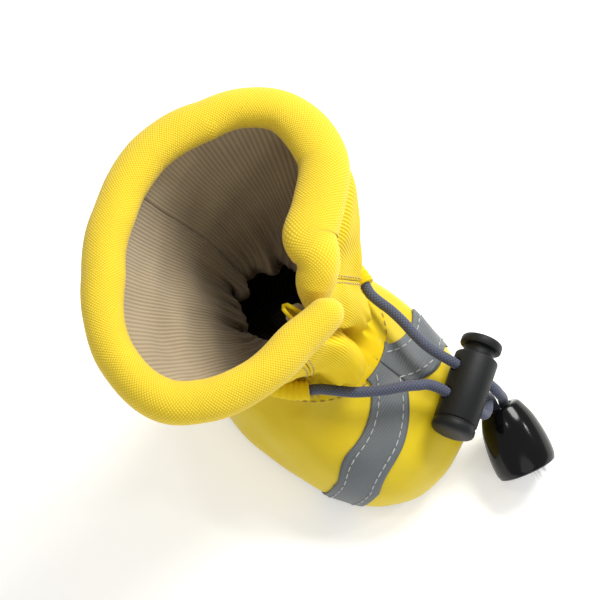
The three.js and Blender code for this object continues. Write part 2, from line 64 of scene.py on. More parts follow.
# %% Camera
camera_place = Vector((-0.11583, -0.07449, 0.45386))
camera_back = Vector((-0.2731, -0.2058, 0.9397)).normalized()
camera_right = Vector((0.602, -0.799, 0)).normalized()
camera_up = camera_back.cross(camera_right)
turn = Matrix((camera_right, camera_up, camera_back)).transposed()
camera_data = bpy.data.cameras.new("camera")
camera_data.lens = 103.4
camera_data.sensor_width = 36
camera_data.clip_start = 0.01
camera = bpy.data.objects.new("camera", camera_data)
camera.matrix_world = Matrix.Translation(camera_place) @ turn.to_4x4()
bpy.context.scene.collection.objects.link(camera)
bpy.context.scene.camera = camera
bpy.context.scene.view_settings.view_transform = "Standard"
print("camera", round(camera_place.length, 3), "m from the boot's middle")

# %% Floor and lamps
def lamp(name, place, aim, size, power, color=(1, 1, 1)):
    data = bpy.data.lights.new(name, "AREA")
    data.shape = "DISK"
    data.size = size
    data.energy = power
    data.color = color
    light = bpy.data.objects.new(name, data)
    light.location = place
    light.rotation_euler = (Vector(aim) - Vector(place)).to_track_quat("-Z", "Y").to_euler()
    bpy.context.scene.collection.objects.link(light)


lamp("key", (0.42, 0.02, 0.50), (0, 0, 0.04), 0.3, 4.3, (1, 0.985, 0.96))
lamp("left glint", (-0.08, 0.11, 0.59), (0.01, -0.045, 0.01), 0.03, 0.16)
lamp("right glint", (0.41, -0.28, 0.41), (0.01, -0.045, 0.01), 0.05, 0.3)
lamp("fill", (-0.35, -0.45, 0.45), (0, 0, 0.03), 0.6, 0.9)

world = bpy.data.worlds.new("white room")
world.use_nodes = True
world.node_tree.nodes["Background"].inputs["Color"].default_value = (1, 1, 1, 1)
world.node_tree.nodes["Background"].inputs["Strength"].default_value = 0.5
bpy.context.scene.world = world

FLOOR_HALF = 1.5
floor_mesh = bpy.data.meshes.new("floor")
corners = [(-1, -1), (1, -1), (1, 1), (-1, 1)]
floor_mesh.from_pydata([(x * FLOOR_HALF, y * FLOOR_HALF, 0) for x, y in corners], [], [(0, 1, 2, 3)])
floor = bpy.data.objects.new("floor", floor_mesh)
bpy.context.scene.collection.objects.link(floor)
floor_paint = bpy.data.materials.new("pale floor")
floor_paint.use_nodes = True
floor_shader = floor_paint.node_tree.nodes["Principled BSDF"]
floor_shader.inputs["Base Color"].default_value = (0.93, 0.93, 0.92, 1)
floor_shader.inputs["Roughness"].default_value = 0.9
floor_shader.inputs["Specular IOR Level"].default_value = 0.1
floor_shader.inputs["Emission Color"].default_value = (1, 1, 1, 1)
floor_shader.inputs["Emission Strength"].default_value = 0.3
floor_mesh.materials.append(floor_paint)
print("floor", 2 * FLOOR_HALF, "m wide")

# %% [markdown]
# ## Patterns that several finishes share
# Grain, mottling, ribs and crossed threads turn up on more than one finish. Each is a small
# shader group with named sockets, built once. A group only puts out values, and each material
# decides what they do to its colour, roughness or bump.

# %% Helpers for shader nodes
def add_node(tree, kind, inputs=None, **settings):
    made = tree.nodes.new(kind)
    for key, value in settings.items():
        setattr(made, key, value)
    for key, value in (inputs or {}).items():
        if isinstance(value, bpy.types.NodeSocket):
            tree.links.new(value, made.inputs[key])
        else:
            made.inputs[key].default_value = value
    return made


def maths(tree, operation, a, b=0.0):
    return add_node(tree, "ShaderNodeMath", {0: a, 1: b}, operation=operation).outputs[0]


def shader_group(name, numbers, vector_name="Vector"):
    group = bpy.data.node_groups.new(name, "ShaderNodeTree")
    group.interface.new_socket(vector_name, in_out="INPUT", socket_type="NodeSocketVector")
    for socket, value in numbers.items():
        made = group.interface.new_socket(socket, in_out="INPUT", socket_type="NodeSocketFloat")
        made.default_value = value
    group.interface.new_socket("Value", in_out="OUTPUT", socket_type="NodeSocketFloat")
    return group, group.nodes.new("NodeGroupInput"), group.nodes.new("NodeGroupOutput")


print("helpers ready")

# %% Mottling and grain
mottle, got, out = shader_group("mottle", {"Scale": 60, "Strength": 0.1})
cloud = add_node(mottle, "ShaderNodeTexNoise", {
    "Vector": got.outputs["Vector"], "Scale": got.outputs["Scale"], "Detail": 4})
swing = maths(mottle, "MULTIPLY", maths(mottle, "SUBTRACT", cloud.outputs["Fac"], 0.5), 2.0)
mottle.links.new(maths(mottle, "ADD", maths(mottle, "MULTIPLY", swing, got.outputs["Strength"]), 1.0),
                 out.inputs["Value"])

grain, got, out = shader_group("grain", {"Scale": 3000, "Roughness": 0.6})
speck = add_node(grain, "ShaderNodeTexNoise", {"Vector": got.outputs["Vector"], "Scale": got.outputs["Scale"],
                                               "Detail": 3, "Roughness": got.outputs["Roughness"]})
grain.links.new(speck.outputs["Fac"], out.inputs["Value"])
print("groups:", mottle.name, grain.name)

# %% Ribs and crossed threads
ribs, got, out = shader_group("ribs", {"Pitch": 0.00065})
split = add_node(ribs, "ShaderNodeSeparateXYZ", {0: got.outputs["Vector"]})
phase = maths(ribs, "MULTIPLY", maths(ribs, "DIVIDE", split.outputs["X"], got.outputs["Pitch"]), 2 * math.pi)
ribs.links.new(maths(ribs, "MULTIPLY", maths(ribs, "ADD", maths(ribs, "SINE", phase), 1.0), 0.5),
               out.inputs["Value"])

threads, got, out = shader_group("crossed threads", {"Pitch along": 0.001, "Pitch across": 0.001})
split = add_node(threads, "ShaderNodeSeparateXYZ", {0: got.outputs["Vector"]})
along = maths(threads, "MULTIPLY", maths(threads, "DIVIDE", split.outputs["X"], got.outputs["Pitch along"]),
              math.pi)
aside = maths(threads, "MULTIPLY", maths(threads, "DIVIDE", split.outputs["Y"], got.outputs["Pitch across"]),
              math.pi)
one = maths(threads, "SINE", maths(threads, "ADD", along, aside))
other = maths(threads, "SINE", maths(threads, "SUBTRACT", along, aside))
threads.links.new(maths(threads, "ABSOLUTE", maths(threads, "MULTIPLY", one, other)), out.inputs["Value"])
print("groups:", ribs.name, threads.name)

# %% [markdown]
# ## Finishes
# Cloth is a rough coloured surface whose thread shows as a small bump and a darker valley, so
# each cloth mixes a valley colour and a crest colour by its own pattern. The darker valley colour
# of ribs and threads is painted shade in the hollows. Plastics only need a fine grain, where the
# darker colour is a random tone. The patterns follow each piece's own map, laid out in metres,
# because a rib or a stitch turns with the cloth.

# %% A helper that builds a finish
def srgb(*levels):
    """A colour from 0-255 display levels, as the linear values a shader takes."""
    return tuple(c / 12.92 if c <= 0.04045 else ((c + 0.055) / 1.055) ** 2.4
                 for c in (level / 255 for level in levels)) + (1.0,)


def use(tree, group, vector, **values):
    made = add_node(tree, "ShaderNodeGroup", node_tree=group)
    tree.links.new(vector, made.inputs[0])
    for key, value in values.items():
        made.inputs[key.replace("_", " ")].default_value = value
    return made.outputs[0]


def finish_of(name, low, high, pattern, depth, roughness, blotch=(70, 0.06), specular=0.3, sheen=0.0,
              fade=None, mapped=True, extra=None):
    """A material: pattern(tree, vector) puts out 0 in its valleys and 1 on its crests. With ribs or threads,
    the low colour is painted shade in the valleys.
    """
    material = bpy.data.materials.new(name)
    material.use_nodes = True
    tree = material.node_tree
    shader = tree.nodes["Principled BSDF"]
    place = add_node(tree, "ShaderNodeTexCoord")
    vector = place.outputs["UV"] if mapped else place.outputs["Object"]
    crest = pattern(tree, vector)
    if fade:
        amount = add_node(tree, "ShaderNodeAttribute", attribute_name=fade).outputs["Fac"]
        flat = maths(tree, "SUBTRACT", 1.0, amount)
        crest = maths(tree, "ADD", maths(tree, "MULTIPLY", crest, amount), maths(tree, "MULTIPLY", flat, 0.5))
    # The low colour in rib and thread valleys is painted shade; with grain it is a random darker tone.
    colour = add_node(tree, "ShaderNodeMix", {"Factor": crest}, data_type="RGBA")
    colour.inputs["A"].default_value = low
    colour.inputs["B"].default_value = high
    clouds = use(tree, mottle, place.outputs["Object"], Scale=blotch[0], Strength=blotch[1])
    tinted = add_node(tree, "ShaderNodeVectorMath", {0: colour.outputs["Result"]}, operation="SCALE")
    tree.links.new(clouds, tinted.inputs["Scale"])
    tree.links.new(tinted.outputs["Vector"], shader.inputs["Base Color"])
    height = crest if extra is None else maths(tree, "ADD", crest, extra(tree, place))
    bump = add_node(tree, "ShaderNodeBump", {"Height": height, "Distance": depth, "Strength": 1.0})
    tree.links.new(bump.outputs["Normal"], shader.inputs["Normal"])
    tree.links.new(maths(tree, "MULTIPLY", clouds, roughness), shader.inputs["Roughness"])
    shader.inputs["Specular IOR Level"].default_value = specular
    shader.inputs["Sheen Weight"].default_value = sheen
    shader.inputs["Sheen Roughness"].default_value = 0.5
    return material


def fuzz(scale, strength):
    return lambda tree, place: maths(tree, "MULTIPLY", use(tree, grain, place.outputs["Object"], Scale=scale),
                                     strength)


print("finish helper ready")

# %% The finishes
# Where a finish uses ribs or crossed threads, its first, darker colour is painted shade in the valleys; with
# grain it is a random darker tone.
coated = finish_of(
    "coated cloth", srgb(204, 178, 4), srgb(228, 202, 16),
    lambda t, v: use(t, threads, v, Pitch_along=0.00032, Pitch_across=0.00032), 0.00001, 0.46,
    blotch=(55, 0.05), specular=0.4, extra=fuzz(900, 0.8))
ribbed = finish_of(
    "ribbed cloth", srgb(198, 162, 0), srgb(238, 210, 20),
    lambda t, v: use(t, ribs, v, Pitch=0.00065), 0.00009, 0.8, sheen=0.03, specular=0.2,
    fade="ribbing", extra=fuzz(2500, 0.3))
knit = finish_of(
    "knit binding", srgb(216, 180, 20), srgb(244, 218, 60),
    lambda t, v: use(t, threads, v, Pitch_along=0.00065, Pitch_across=0.0009), 0.0001, 0.85, sheen=0.2,
    blotch=(90, 0.09), extra=fuzz(1800, 0.6))
fleece = finish_of(
    "brushed fleece", srgb(150, 133, 106), srgb(176, 160, 131),
    lambda t, v: use(t, ribs, v, Pitch=0.001), 0.00009, 0.95, blotch=(70, 0.2), sheen=0.25,
    extra=fuzz(1500, 1.2))
# The foot lining's dark brown is painted shade: it stands for the dim inside of the foot, lit only through
# the ankle hole.
painted_shade_lining = finish_of(
    "foot lining painted shade", srgb(40, 36, 30), srgb(62, 56, 46),
    lambda t, v: use(t, ribs, v, Pitch=0.001), 0.00014, 0.95, blotch=(90, 0.16))
tape_finish = finish_of(
    "reflective tape", srgb(82, 88, 92), srgb(106, 112, 116),
    lambda t, v: use(t, threads, v, Pitch_along=0.0005, Pitch_across=0.0005), 0.00004, 0.42, specular=0.5,
    blotch=(200, 0.1))
rubber = finish_of(
    "sole rubber", srgb(34, 35, 35), srgb(52, 53, 52),
    lambda t, v: use(t, grain, v, Scale=1800), 0.00008, 0.8, mapped=False)
braid = finish_of(
    "braided cord", srgb(54, 58, 76), srgb(84, 91, 112),
    lambda t, v: use(t, threads, v, Pitch_along=0.0009, Pitch_across=0.0011), 0.00007, 0.6, sheen=0.2,
    extra=fuzz(4000, 0.3))
matte_black = finish_of(
    "matte nylon", srgb(12, 13, 15), srgb(22, 24, 26),
    lambda t, v: use(t, grain, v, Scale=2600), 0.00006, 0.5, mapped=False, specular=0.25)
gloss_black = finish_of(
    "gloss plastic", srgb(5, 5, 6), srgb(10, 10, 11),
    lambda t, v: use(t, grain, v, Scale=300), 0.00002, 0.15, mapped=False, specular=0.25)
steel = finish_of(
    "spring steel", srgb(120, 122, 126), srgb(190, 192, 196),
    lambda t, v: use(t, grain, v, Scale=4000), 0.00002, 0.35, mapped=False)
steel.node_tree.nodes["Principled BSDF"].inputs["Metallic"].default_value = 1.0


def thread_finish(name, low, high):
    return finish_of(name, low, high, lambda t, v: use(t, grain, v, Scale=6000), 0.00004, 0.6, mapped=False,
                     sheen=0.2)


grey_thread = thread_finish("grey thread", srgb(150, 155, 156), srgb(188, 192, 192))
brown_thread = thread_finish("brown thread", srgb(150, 126, 66), srgb(190, 168, 104))
pale_thread = thread_finish("pale fibre", srgb(214, 216, 214), srgb(246, 247, 245))
print("finishes:", len(bpy.data.materials))

# %% [markdown]
# ## Making meshes
# A cloth piece is a grid of points with a second grid under it, closed round its edge, so it has
# a real thickness. A cord or roll is a ring of points swept along a path. Both carry a map in
# metres, so a rib or a braid keeps its size all over.

# %% From points to a finished piece
def piece(name, points, faces, loop_uv, finish, smooth=True):
    mesh = bpy.data.meshes.new(name)
    mesh.from_pydata((np.asarray(points) * MM).tolist(), [], faces)
    if loop_uv is not None:
        layer = mesh.uv_layers.new(name="cloth")
        layer.data.foreach_set("uv", (np.asarray(loop_uv) * MM).astype(np.float32).ravel())
    mesh.polygons.foreach_set("use_smooth", [smooth] * len(mesh.polygons))
    mesh.materials.append(finish)
    made = bpy.data.objects.new(name, mesh)
    bpy.context.scene.collection.objects.link(made)
    return made


def shell(name, outer, inner, uv, finish):
    """A closed sheet between two grids of points, rows upwards and columns towards the near side."""
    rows, cols = outer.shape[:2]
    ids = np.arange(rows * cols).reshape(rows, cols)
    back = ids + rows * cols
    faces = []

    def strip(a, b, c, d):
        faces.extend(np.stack([a, b, c, d], axis=-1).reshape(-1, 4).tolist())

    strip(ids[:-1, :-1], ids[1:, :-1], ids[1:, 1:], ids[:-1, 1:])
    strip(back[:-1, :-1], back[:-1, 1:], back[1:, 1:], back[1:, :-1])
    strip(ids[:-1, 0], back[:-1, 0], back[1:, 0], ids[1:, 0])
    strip(ids[:-1, -1], ids[1:, -1], back[1:, -1], back[:-1, -1])
    strip(ids[0, :-1], ids[0, 1:], back[0, 1:], back[0, :-1])
    strip(ids[-1, :-1], back[-1, :-1], back[-1, 1:], ids[-1, 1:])
    points = np.concatenate([outer.reshape(-1, 3), inner.reshape(-1, 3)])
    flat = np.concatenate([uv.reshape(-1, 2)] * 2)
    return piece(name, points, faces, flat[np.array(faces).ravel()], finish)


def sweep(name, path, radius, sides, finish, end_round=True, shape=None):
    """A closed tube along a path. radius is one number or one for each point of the path."""
    path = np.asarray(path, float)
    radius = np.broadcast_to(np.asarray(radius, float), (len(path),))
    tangent = np.gradient(path, axis=0)
    tangent /= np.linalg.norm(tangent, axis=1, keepdims=True)
    side = np.cross(tangent[0], [0, 0, 1])
    if np.linalg.norm(side) < 0.1:
        side = np.cross(tangent[0], [1, 0, 0])
    sides_out, ups = [], []
    for t in tangent:
        side = side - t * side.dot(t)
        side /= np.linalg.norm(side)
        sides_out.append(side)
        ups.append(np.cross(t, side))
    turns = np.arange(sides) / sides * 2 * math.pi
    ring = np.cos(turns)[None, :, None] * np.array(sides_out)[:, None] + \
        np.sin(turns)[None, :, None] * np.array(ups)[:, None]
    size = radius[:, None] * (1 if shape is None else shape(np.arange(len(path))[:, None], turns[None, :]))
    points = (path[:, None] + ring * size[..., None]).reshape(-1, 3)
    n = len(path)
    ids = np.arange(n * sides).reshape(n, sides)
    nxt = np.roll(ids, -1, axis=1)
    faces = np.stack([ids[:-1], nxt[:-1], nxt[1:], ids[1:]], axis=-1).reshape(-1, 4).tolist()
    travelled = np.concatenate([[0], np.cumsum(np.linalg.norm(np.diff(path, axis=0), axis=1))])
    around = np.arange(sides + 1) / sides * 2 * math.pi * radius.max()
    u0, u1 = travelled[:-1, None], travelled[1:, None]
    v0, v1 = around[None, :-1], around[None, 1:]
    corners = [np.stack(np.broadcast_arrays(u, v), axis=-1)
               for u, v in ((u0, v0), (u0, v1), (u1, v1), (u1, v0))]
    uv = np.stack(corners, axis=2).reshape(-1, 2).tolist()
    points = points.tolist()
    for row, flip in ((ids[0], True), (ids[-1], False)):
        hub = len(points)
        end = 0 if flip else n - 1
        bulge = tangent[end] * radius[end] * 0.35 * (-1 if flip else 1) * end_round
        points.append((path[end] + bulge).tolist())
        for k in range(sides):
            a, b = int(row[k]), int(row[(k + 1) % sides])
            faces.append([hub, b, a] if flip else [hub, a, b])
            uv += [[travelled[end], 0], [travelled[end], around[k]], [travelled[end], around[k + 1]]]
    return piece(name, points, faces, uv, finish)


print("mesh helpers ready")

# %% Smooth lines through points
def smooth_line(points, step=0.5):
    """A centripetal Catmull-Rom line through points, with a point about every step millimetres."""
    p = np.asarray(points, float)
    p = np.vstack([2 * p[0] - p[1], p, 2 * p[-1] - p[-2]])
    line = []
    for a, b, c, d in zip(p[:-3], p[1:-2], p[2:-1], p[3:]):
        t = np.cumsum([0] + [math.sqrt(np.linalg.norm(y - x)) for x, y in ((a, b), (b, c), (c, d))])
        for f in np.linspace(t[1], t[2], max(2, int(np.linalg.norm(c - b) / step) + 1), endpoint=False):
            ab = a + (b - a) * (f - t[0]) / (t[1] - t[0])
            bc = b + (c - b) * (f - t[1]) / (t[2] - t[1])
            cd = c + (d - c) * (f - t[2]) / (t[3] - t[2])
            abc = ab + (bc - ab) * (f - t[0]) / (t[2] - t[0])
            bcd = bc + (cd - bc) * (f - t[1]) / (t[3] - t[1])
            line.append(abc + (bcd - abc) * (f - t[1]) / (t[2] - t[1]))
    line.append(p[-2])
    return np.array(line)


def length_of(line):
    return float(np.linalg.norm(np.diff(line, axis=0), axis=1).sum())


# %% [markdown]
# ## The drawcord
# It is one limp elastic cord, 2.8 mm thick. Each end leaves the tunnel at the front of the
# ankle, passes through a hole of the lock and drops into the bell, where a knot holds it. The
# stretches above and below the lock are separate meshes, one for each stretch between the boot,
# the lock and the bell. They follow the same points as their solids, and the lower two run on to
# the bell's mouth.

# %% Routes of the four free stretches
CORD_RADIUS = 1.4
routes = {
    "drawcord_near_upper": [
        [-12.49, 0.22, 37], [-10.9, -1.44, 37], [-8.9, -4.7, 37], [-6.2, -9, 36.9], [-1.2, -14.6, 36.6],
        [3, -18.3, 36.2], [5.6, -20.9, 35.6], [7.3, -22.4, 34.7], [8.68, -25.15, 33.39], [9.23, -26.91, 32.1],
        [10.6, -31.29, 28.89]],
    "drawcord_far_upper": [
        [18.68, 5.73, 37], [17.6, 3.3, 37], [17.3, 0.6, 36.8], [17.3, -2.9, 36.5], [16.8, -7.4, 36.1],
        [15.9, -11.8, 35.7], [15.4, -15.9, 35.3], [15.6, -19.4, 34.7], [16.32, -22.77, 33.39],
        [16.87, -24.53, 32.1], [18.23, -28.91, 28.89]],
    "drawcord_near_lower": [
        [10.67, -31.52, 28.71], [12.03, -35.9, 25.5], [12.9, -37.4, 22.9], [15.2, -37.1, 20.9],
        [17.5, -35.8, 19.5], [19.1, -35, 17.5], [19.4, -35.9, 15.3], [18.71, -37.84, 13.65],
        [16.95, -41.37, 12.21], [14.9, -45.5, 10.53], [13.29, -53.08, 11.53]],
    "drawcord_far_lower": [
        [18.31, -29.14, 28.71], [19.67, -33.52, 25.5], [20.3, -35.9, 22.8], [20.9, -37.2, 19.6],
        [21.6, -38, 16.4], [21.29, -39.16, 13.65], [19.53, -42.69, 12.21], [17.5, -46.8, 10.53],
        [15.47, -54.31, 10.42]],
}
for name, points in routes.items():
    line = smooth_line(points)
    stretch = sweep(name + "_cord", line, CORD_RADIUS, 14, braid)
    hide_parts(name)
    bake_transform(stretch)
    print(name, round(length_of(line), 1), "mm")

# %% [markdown]
# ## The boot's skin
# Foot and cuff are one continuous skin through ten hoops, from the sole up to the collar. A
# level from 0 to 9 picks the hoop and an angle from straight ahead picks the place on it, so
# every cloth piece is a patch of this skin. Lofting through hoops is how such a shape is
# drafted, and it lets the seams, ribs and folds follow the cloth.

# %% Hoops and the collar's outline
# height, x, y, half width, reach to the front, reach to the back, squareness, flare
SQUARE, RING = 2.5, [16.2, 18.5, 19, 2.25]
hoops = np.array([
    [2.5, -0.5, 0, 24, 35, 34, SQUARE, 0],
    [9, -0.5, 0, 26.3, 37, 36, SQUARE, 0],
    [17, 0, 1, 26, 36.6, 35, 2.45, 0],
    [25, 1, 6, 24, 34, 29.5, 2.3, 0],
    [31, 2, 13.5, 20, 23.5, 22, 2, 0],
    [37, 1.2, 17, *RING, 0],
    [43, 0.8, 17.5, *RING, 0.1],
    [58, -2.5, 20, *RING, 0.42],
    [76, -8.5, 24, *RING, 0.78],
    [94, -13.7, 26.6, *RING, 1]])
collar_outline = np.array([
    [-3, 26.5], [16, 29], [36, 32.1], [57, 35.8], [71, 36.9], [93, 33.1], [112, 29], [131, 26], [162, 25.4],
    [180, 27], [200, 29.6], [228, 33.4], [242, 37], [258, 39], [279, 35.8], [296, 28.5], [314, 24],
    [340, 25.6]])
VAMP_TOP, ANKLE, COLLAR = 4, 5, 9


def between(low, high, f):
    return low + (high - low) * f


def glide(a, b, c, d, f):
    return 0.5 * (2 * b + (c - a) * f + (2 * a - 5 * b + 4 * c - d) * f ** 2
                  + (3 * b - a - 3 * c + d) * f ** 3)


def smoothstep(x, low, high):
    t = np.clip((x - low) / (high - low), 0, 1)
    return t * t * (3 - 2 * t)


def hoop_at(level):
    i = np.clip(np.floor(level).astype(int), 0, len(hoops) - 2)
    near = [hoops[np.clip(i + k, 0, len(hoops) - 1)] for k in (-1, 0, 1, 2)]
    return np.moveaxis(glide(*near, (level - i)[..., None]), -1, 0)


def collar_radius(angle):
    turn = np.mod(np.degrees(angle) + 3, 360) - 3
    n = len(collar_outline)
    i = np.clip(np.searchsorted(collar_outline[:, 0], turn, side="right") - 1, 0, n - 1)
    starts = np.append(collar_outline[:, 0], 357)
    near = [collar_outline[np.mod(i + k, n), 1] for k in (-1, 0, 1, 2)]
    return glide(*near, (turn - starts[i]) / (starts[i + 1] - starts[i]))


def ring_radius(hoop, angle):
    z, x, y, wide, front, back, square, flare = hoop
    reach = np.where(np.cos(angle) > 0, front, back)
    sideways, forwards = np.abs(np.sin(angle) / wide), np.abs(np.cos(angle) / reach)
    radius = (sideways ** square + forwards ** square) ** (-1 / square)
    return np.where(flare > 0, radius + flare * (collar_radius(angle) - radius), radius)


print("hoops:", len(hoops), "from", hoops[0, 0], "to", hoops[-1, 0], "mm")

# %% Seams and tape lines
def near_seam(level):
    return np.radians(42 + (15 - 42) * smoothstep(level, ANKLE, COLLAR))


def far_seam(level):
    return -np.radians(56 + (27 - 56) * smoothstep(level, ANKLE, COLLAR))


tape_degrees = {"near": [53, 50.5, 44, 30, -9], "far": [-71, -68.5, -62, -48, -9]}


def tape_line(side, level):
    marks = np.array(tape_degrees[side], float)
    i = np.clip(np.floor(level).astype(int), 0, len(marks) - 2)
    near = [marks[np.clip(i + k, 0, len(marks) - 1)] for k in (-1, 0, 1, 2)]
    return np.radians(glide(*near, level - i))


# %% Folds, gathers and creases
# out, level, spread below and above, place across the gusset, half width
LOBES = ((8, 5.4, 0.42, 1.4, 0.36, 0.53), (2, 5.6, 0.8, 1.6, -0.5, 0.5))
FOLD_LOW, FOLD_HIGH, FOLD_FROM, FOLD_TO, FOLD_WIDTH = 4.5, 8, -0.06, 0.4, 0.1
BELLY_OUT, BELLY_AT, BELLY_HALF = 5.2, 287, 42
rng = np.random.default_rng(7)
waves = [(rng.uniform(0.25, 0.75), rng.uniform(0, 2 * math.pi), rng.uniform(0, 2 * math.pi))
         for _ in range(9)]


def ripple(p):
    """A smooth unevenness, about -1 to 1, that varies over 10 to 25 mm."""
    total = 0
    for pull, heading, start in waves:
        total = total + np.sin(pull * (p[..., 0] * math.cos(heading) + p[..., 1] * math.sin(heading)
                                       + 0.7 * p[..., 2]) + start)
    return total / 5


def fullness(level, angle):
    """The too-full gusset stands out in two lobes with a fold between; the far side bellies out."""
    turn = np.mod(np.degrees(angle), 360)
    belly = BELLY_OUT * np.clip(1 - ((turn - BELLY_AT) / BELLY_HALF) ** 2, 0, 1) ** 2
    belly = belly * smoothstep(level, 5.2, 8.2) * (1 - smoothstep(level, 8.2, COLLAR))
    middle = (near_seam(level) + far_seam(level)) / 2
    half = (near_seam(level) - far_seam(level)) / 2
    across = (angle - middle) / half
    full = 0
    for out, height, below, above, place, width in LOBES:
        hump = np.clip(1 - ((across - place) / width) ** 2, 0, 1) ** 2
        full = full + out * hump * np.exp(-((level - height) / np.where(level < height, below, above)) ** 2)
    depth = between(FOLD_LOW, FOLD_HIGH, smoothstep(level, 6.5, 8.7)) * smoothstep(level, 4.2, 5.2)
    at = between(FOLD_FROM, FOLD_TO, smoothstep(level, 6, 8.7))
    full = full - depth * (1 - across ** 8) * np.exp(-(((across - at) / FOLD_WIDTH) ** 2))
    return belly + np.where((np.abs(across) < 1) & (level > VAMP_TOP), full, 0)


def gathers(level, angle):
    """Small upright puckers on both sides of the ankle, where the drawcord draws the cloth in."""
    strength = np.exp(-((level - ANKLE) / np.where(level > ANKLE, 1.1, 0.5)) ** 2)
    wobble = np.sin(31 * angle + 2 * np.sin(3 * angle)) + 0.6 * np.sin(53 * angle + 1.3)
    return 0.38 * strength * wobble


CREASE = np.array([[-14.8, 3, 28], [-16.1, -14.7, 15]])


def crease(p):
    a, b = CREASE
    t = np.clip(((p - a) @ (b - a)) / ((b - a) @ (b - a)), 0, 1)
    d = np.linalg.norm(p - (a + t[..., None] * (b - a)), axis=-1)
    fade = np.sin(math.pi * np.clip(t, 0.04, 0.96)) ** 0.5
    return (-1.7 * np.exp(-(d / 1.6) ** 2) + 0.9 * np.exp(-((d - 3.4) / 2.2) ** 2)) * fade


def bare_skin(level, angle):
    hoop = hoop_at(level)
    radius = ring_radius(hoop, angle) + fullness(level, angle) + gathers(level, angle)
    z, x, y = hoop[:3]
    return np.stack([x - np.sin(angle) * radius, y - np.cos(angle) * radius, z], axis=-1)


def skin(level, angle, inward=0.0):
    """Points of the skin, inward millimetres under it, with its soft unevenness."""
    level, angle = np.broadcast_arrays(np.asarray(level, float), np.asarray(angle, float))
    p = bare_skin(level, angle)
    step = 0.02
    low, high = np.clip(level - step, 0, COLLAR), np.clip(level + step, 0, COLLAR)
    upward = bare_skin(high, angle) - bare_skin(low, angle)
    sideways = bare_skin(level, angle + step) - bare_skin(level, angle - step)
    out = np.cross(upward, sideways)
    out /= np.linalg.norm(out, axis=-1, keepdims=True)
    foot = smoothstep(level, 0.2, 1.2) * (1 - smoothstep(level, VAMP_TOP, ANKLE))
    cuff = smoothstep(level, ANKLE, ANKLE + 1.5) * (1 - smoothstep(level, 8.2, COLLAR))
    bulge = 0.42 * ripple(p) * foot + 0.45 * ripple(p) * cuff + crease(p) * foot
    return p + out * (bulge - inward)[..., None]


def stretch_of(level, angle, step=0.02):
    """Millimetres of skin for a radian sideways and for a level upwards."""
    level, angle = np.broadcast_arrays(np.asarray(level, float), np.asarray(angle, float))
    sideways = np.linalg.norm(bare_skin(level, angle + step) - bare_skin(level, angle - step), axis=-1)
    low, high = np.clip(level - step, 0, COLLAR), np.clip(level + step, 0, COLLAR)
    upward = np.linalg.norm(bare_skin(high, angle) - bare_skin(low, angle), axis=-1)
    return sideways / (2 * step), upward / (high - low)


sample = skin(np.array([5.0]), np.array([0.0]))
print("front of the ankle at", np.round(sample[0], 1))

# %% Patches of the skin
RIB_RADIUS = 26.0


def patch(name, cols, rows, at, depth, thickness, finish, under=None):
    """A cloth piece: at(u, v) gives level and angle over its grid, depth is how far it lies in."""
    v, u = np.meshgrid(np.linspace(0, 1, rows + 1), np.linspace(0, 1, cols + 1), indexing="ij")
    level, angle = at(u, v)
    level = np.broadcast_to(level, u.shape)
    outer = skin(level, angle, depth)
    inner = skin(level, angle, depth + thickness)
    if under is not None:
        outer, inner = under(level, angle, outer, inner)
    steps = np.linalg.norm(np.diff(outer, axis=0), axis=-1)
    risen = np.cumsum(np.vstack([np.zeros((1, cols + 1)), steps]), axis=0)
    made = shell(name, outer, inner, np.stack([angle * RIB_RADIUS, risen], axis=-1), finish)
    widths = np.linalg.norm(np.diff(outer, axis=1), axis=-1).sum(axis=1)
    heights = risen[-1]
    rises, runs = outer[1:, :-1] - outer[:-1, :-1], outer[:-1, 1:] - outer[:-1, :-1]
    quads = np.linalg.norm(np.cross(rises, runs), axis=-1)
    made["cut"] = [float(widths.max() * MM), float(heights.max() * MM), float(quads.sum() * MM * MM)]
    return made


def cloth(made, nodes):
    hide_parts(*nodes)
    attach(made, "boot")
    width, height, area = made["cut"]
    del made["cut"]
    area = min(max(area, 0.31 * width * height), width * height)
    print(made.name, "cut", round(1000 * width), "x", round(1000 * height), "mm,", round(area * 1e6), "mm2")



# %% [markdown]
# ## The foot
# Toe cap and quarters are smooth coated cloth, cut flat and sewn over the seam that the tape
# covers. They could be one surface with painted seams, but as separate sheets each keeps its own
# edge, and the seam shows from inside too.

# %% Toe cap and quarters
FOOT_WALL, FOOT_LINING, EDGE = 1.0, 0.8, 0.004
TOE_TOP = VAMP_TOP + 0.25


def toe_patch(u, v):
    level = TOE_TOP * v
    held = np.minimum(level, VAMP_TOP)
    return level, between(tape_line("far", held) + EDGE, tape_line("near", held) - EDGE, u)


def quarter_patch(side):
    def at(u, v):
        level = TOE_TOP * v
        seam = tape_line(side, np.minimum(level, VAMP_TOP))
        if side == "near":
            return level, between(seam + EDGE, math.pi - EDGE, u)
        return level, between(-math.pi + EDGE, seam - EDGE, u)
    return at


toe_cap = patch("toe_cap_cloth", 90, 70, toe_patch, 0, FOOT_WALL, coated)
cloth(toe_cap, ["toe_cap"])
for side in ("near", "far"):
    quarter = patch(f"quarter_{side}_cloth", 110, 70, quarter_patch(side), 0, FOOT_WALL, coated)
    cloth(quarter, [f"quarter_{side}"])

# %% Foot lining
# The foot lining takes the dark colour that is painted shade for the inside of the foot.
for side, low, high in (("near", 0, math.pi), ("far", -math.pi, 0)):
    lining = patch(f"foot_lining_{side}_cloth", 90, 50,
                   lambda u, v: (3.88 * v, between(low + EDGE, high - EDGE, u)), FOOT_WALL + 0.5, FOOT_LINING,
                   painted_shade_lining)
    cloth(lining, [f"foot_lining_{side}"])

# %% [markdown]
# ## Reflective tape
# A grey tape 10 mm wide runs up each side of the toe cap and the two legs meet in a V on the
# instep. It is sewn down with a row of stitches near each edge.

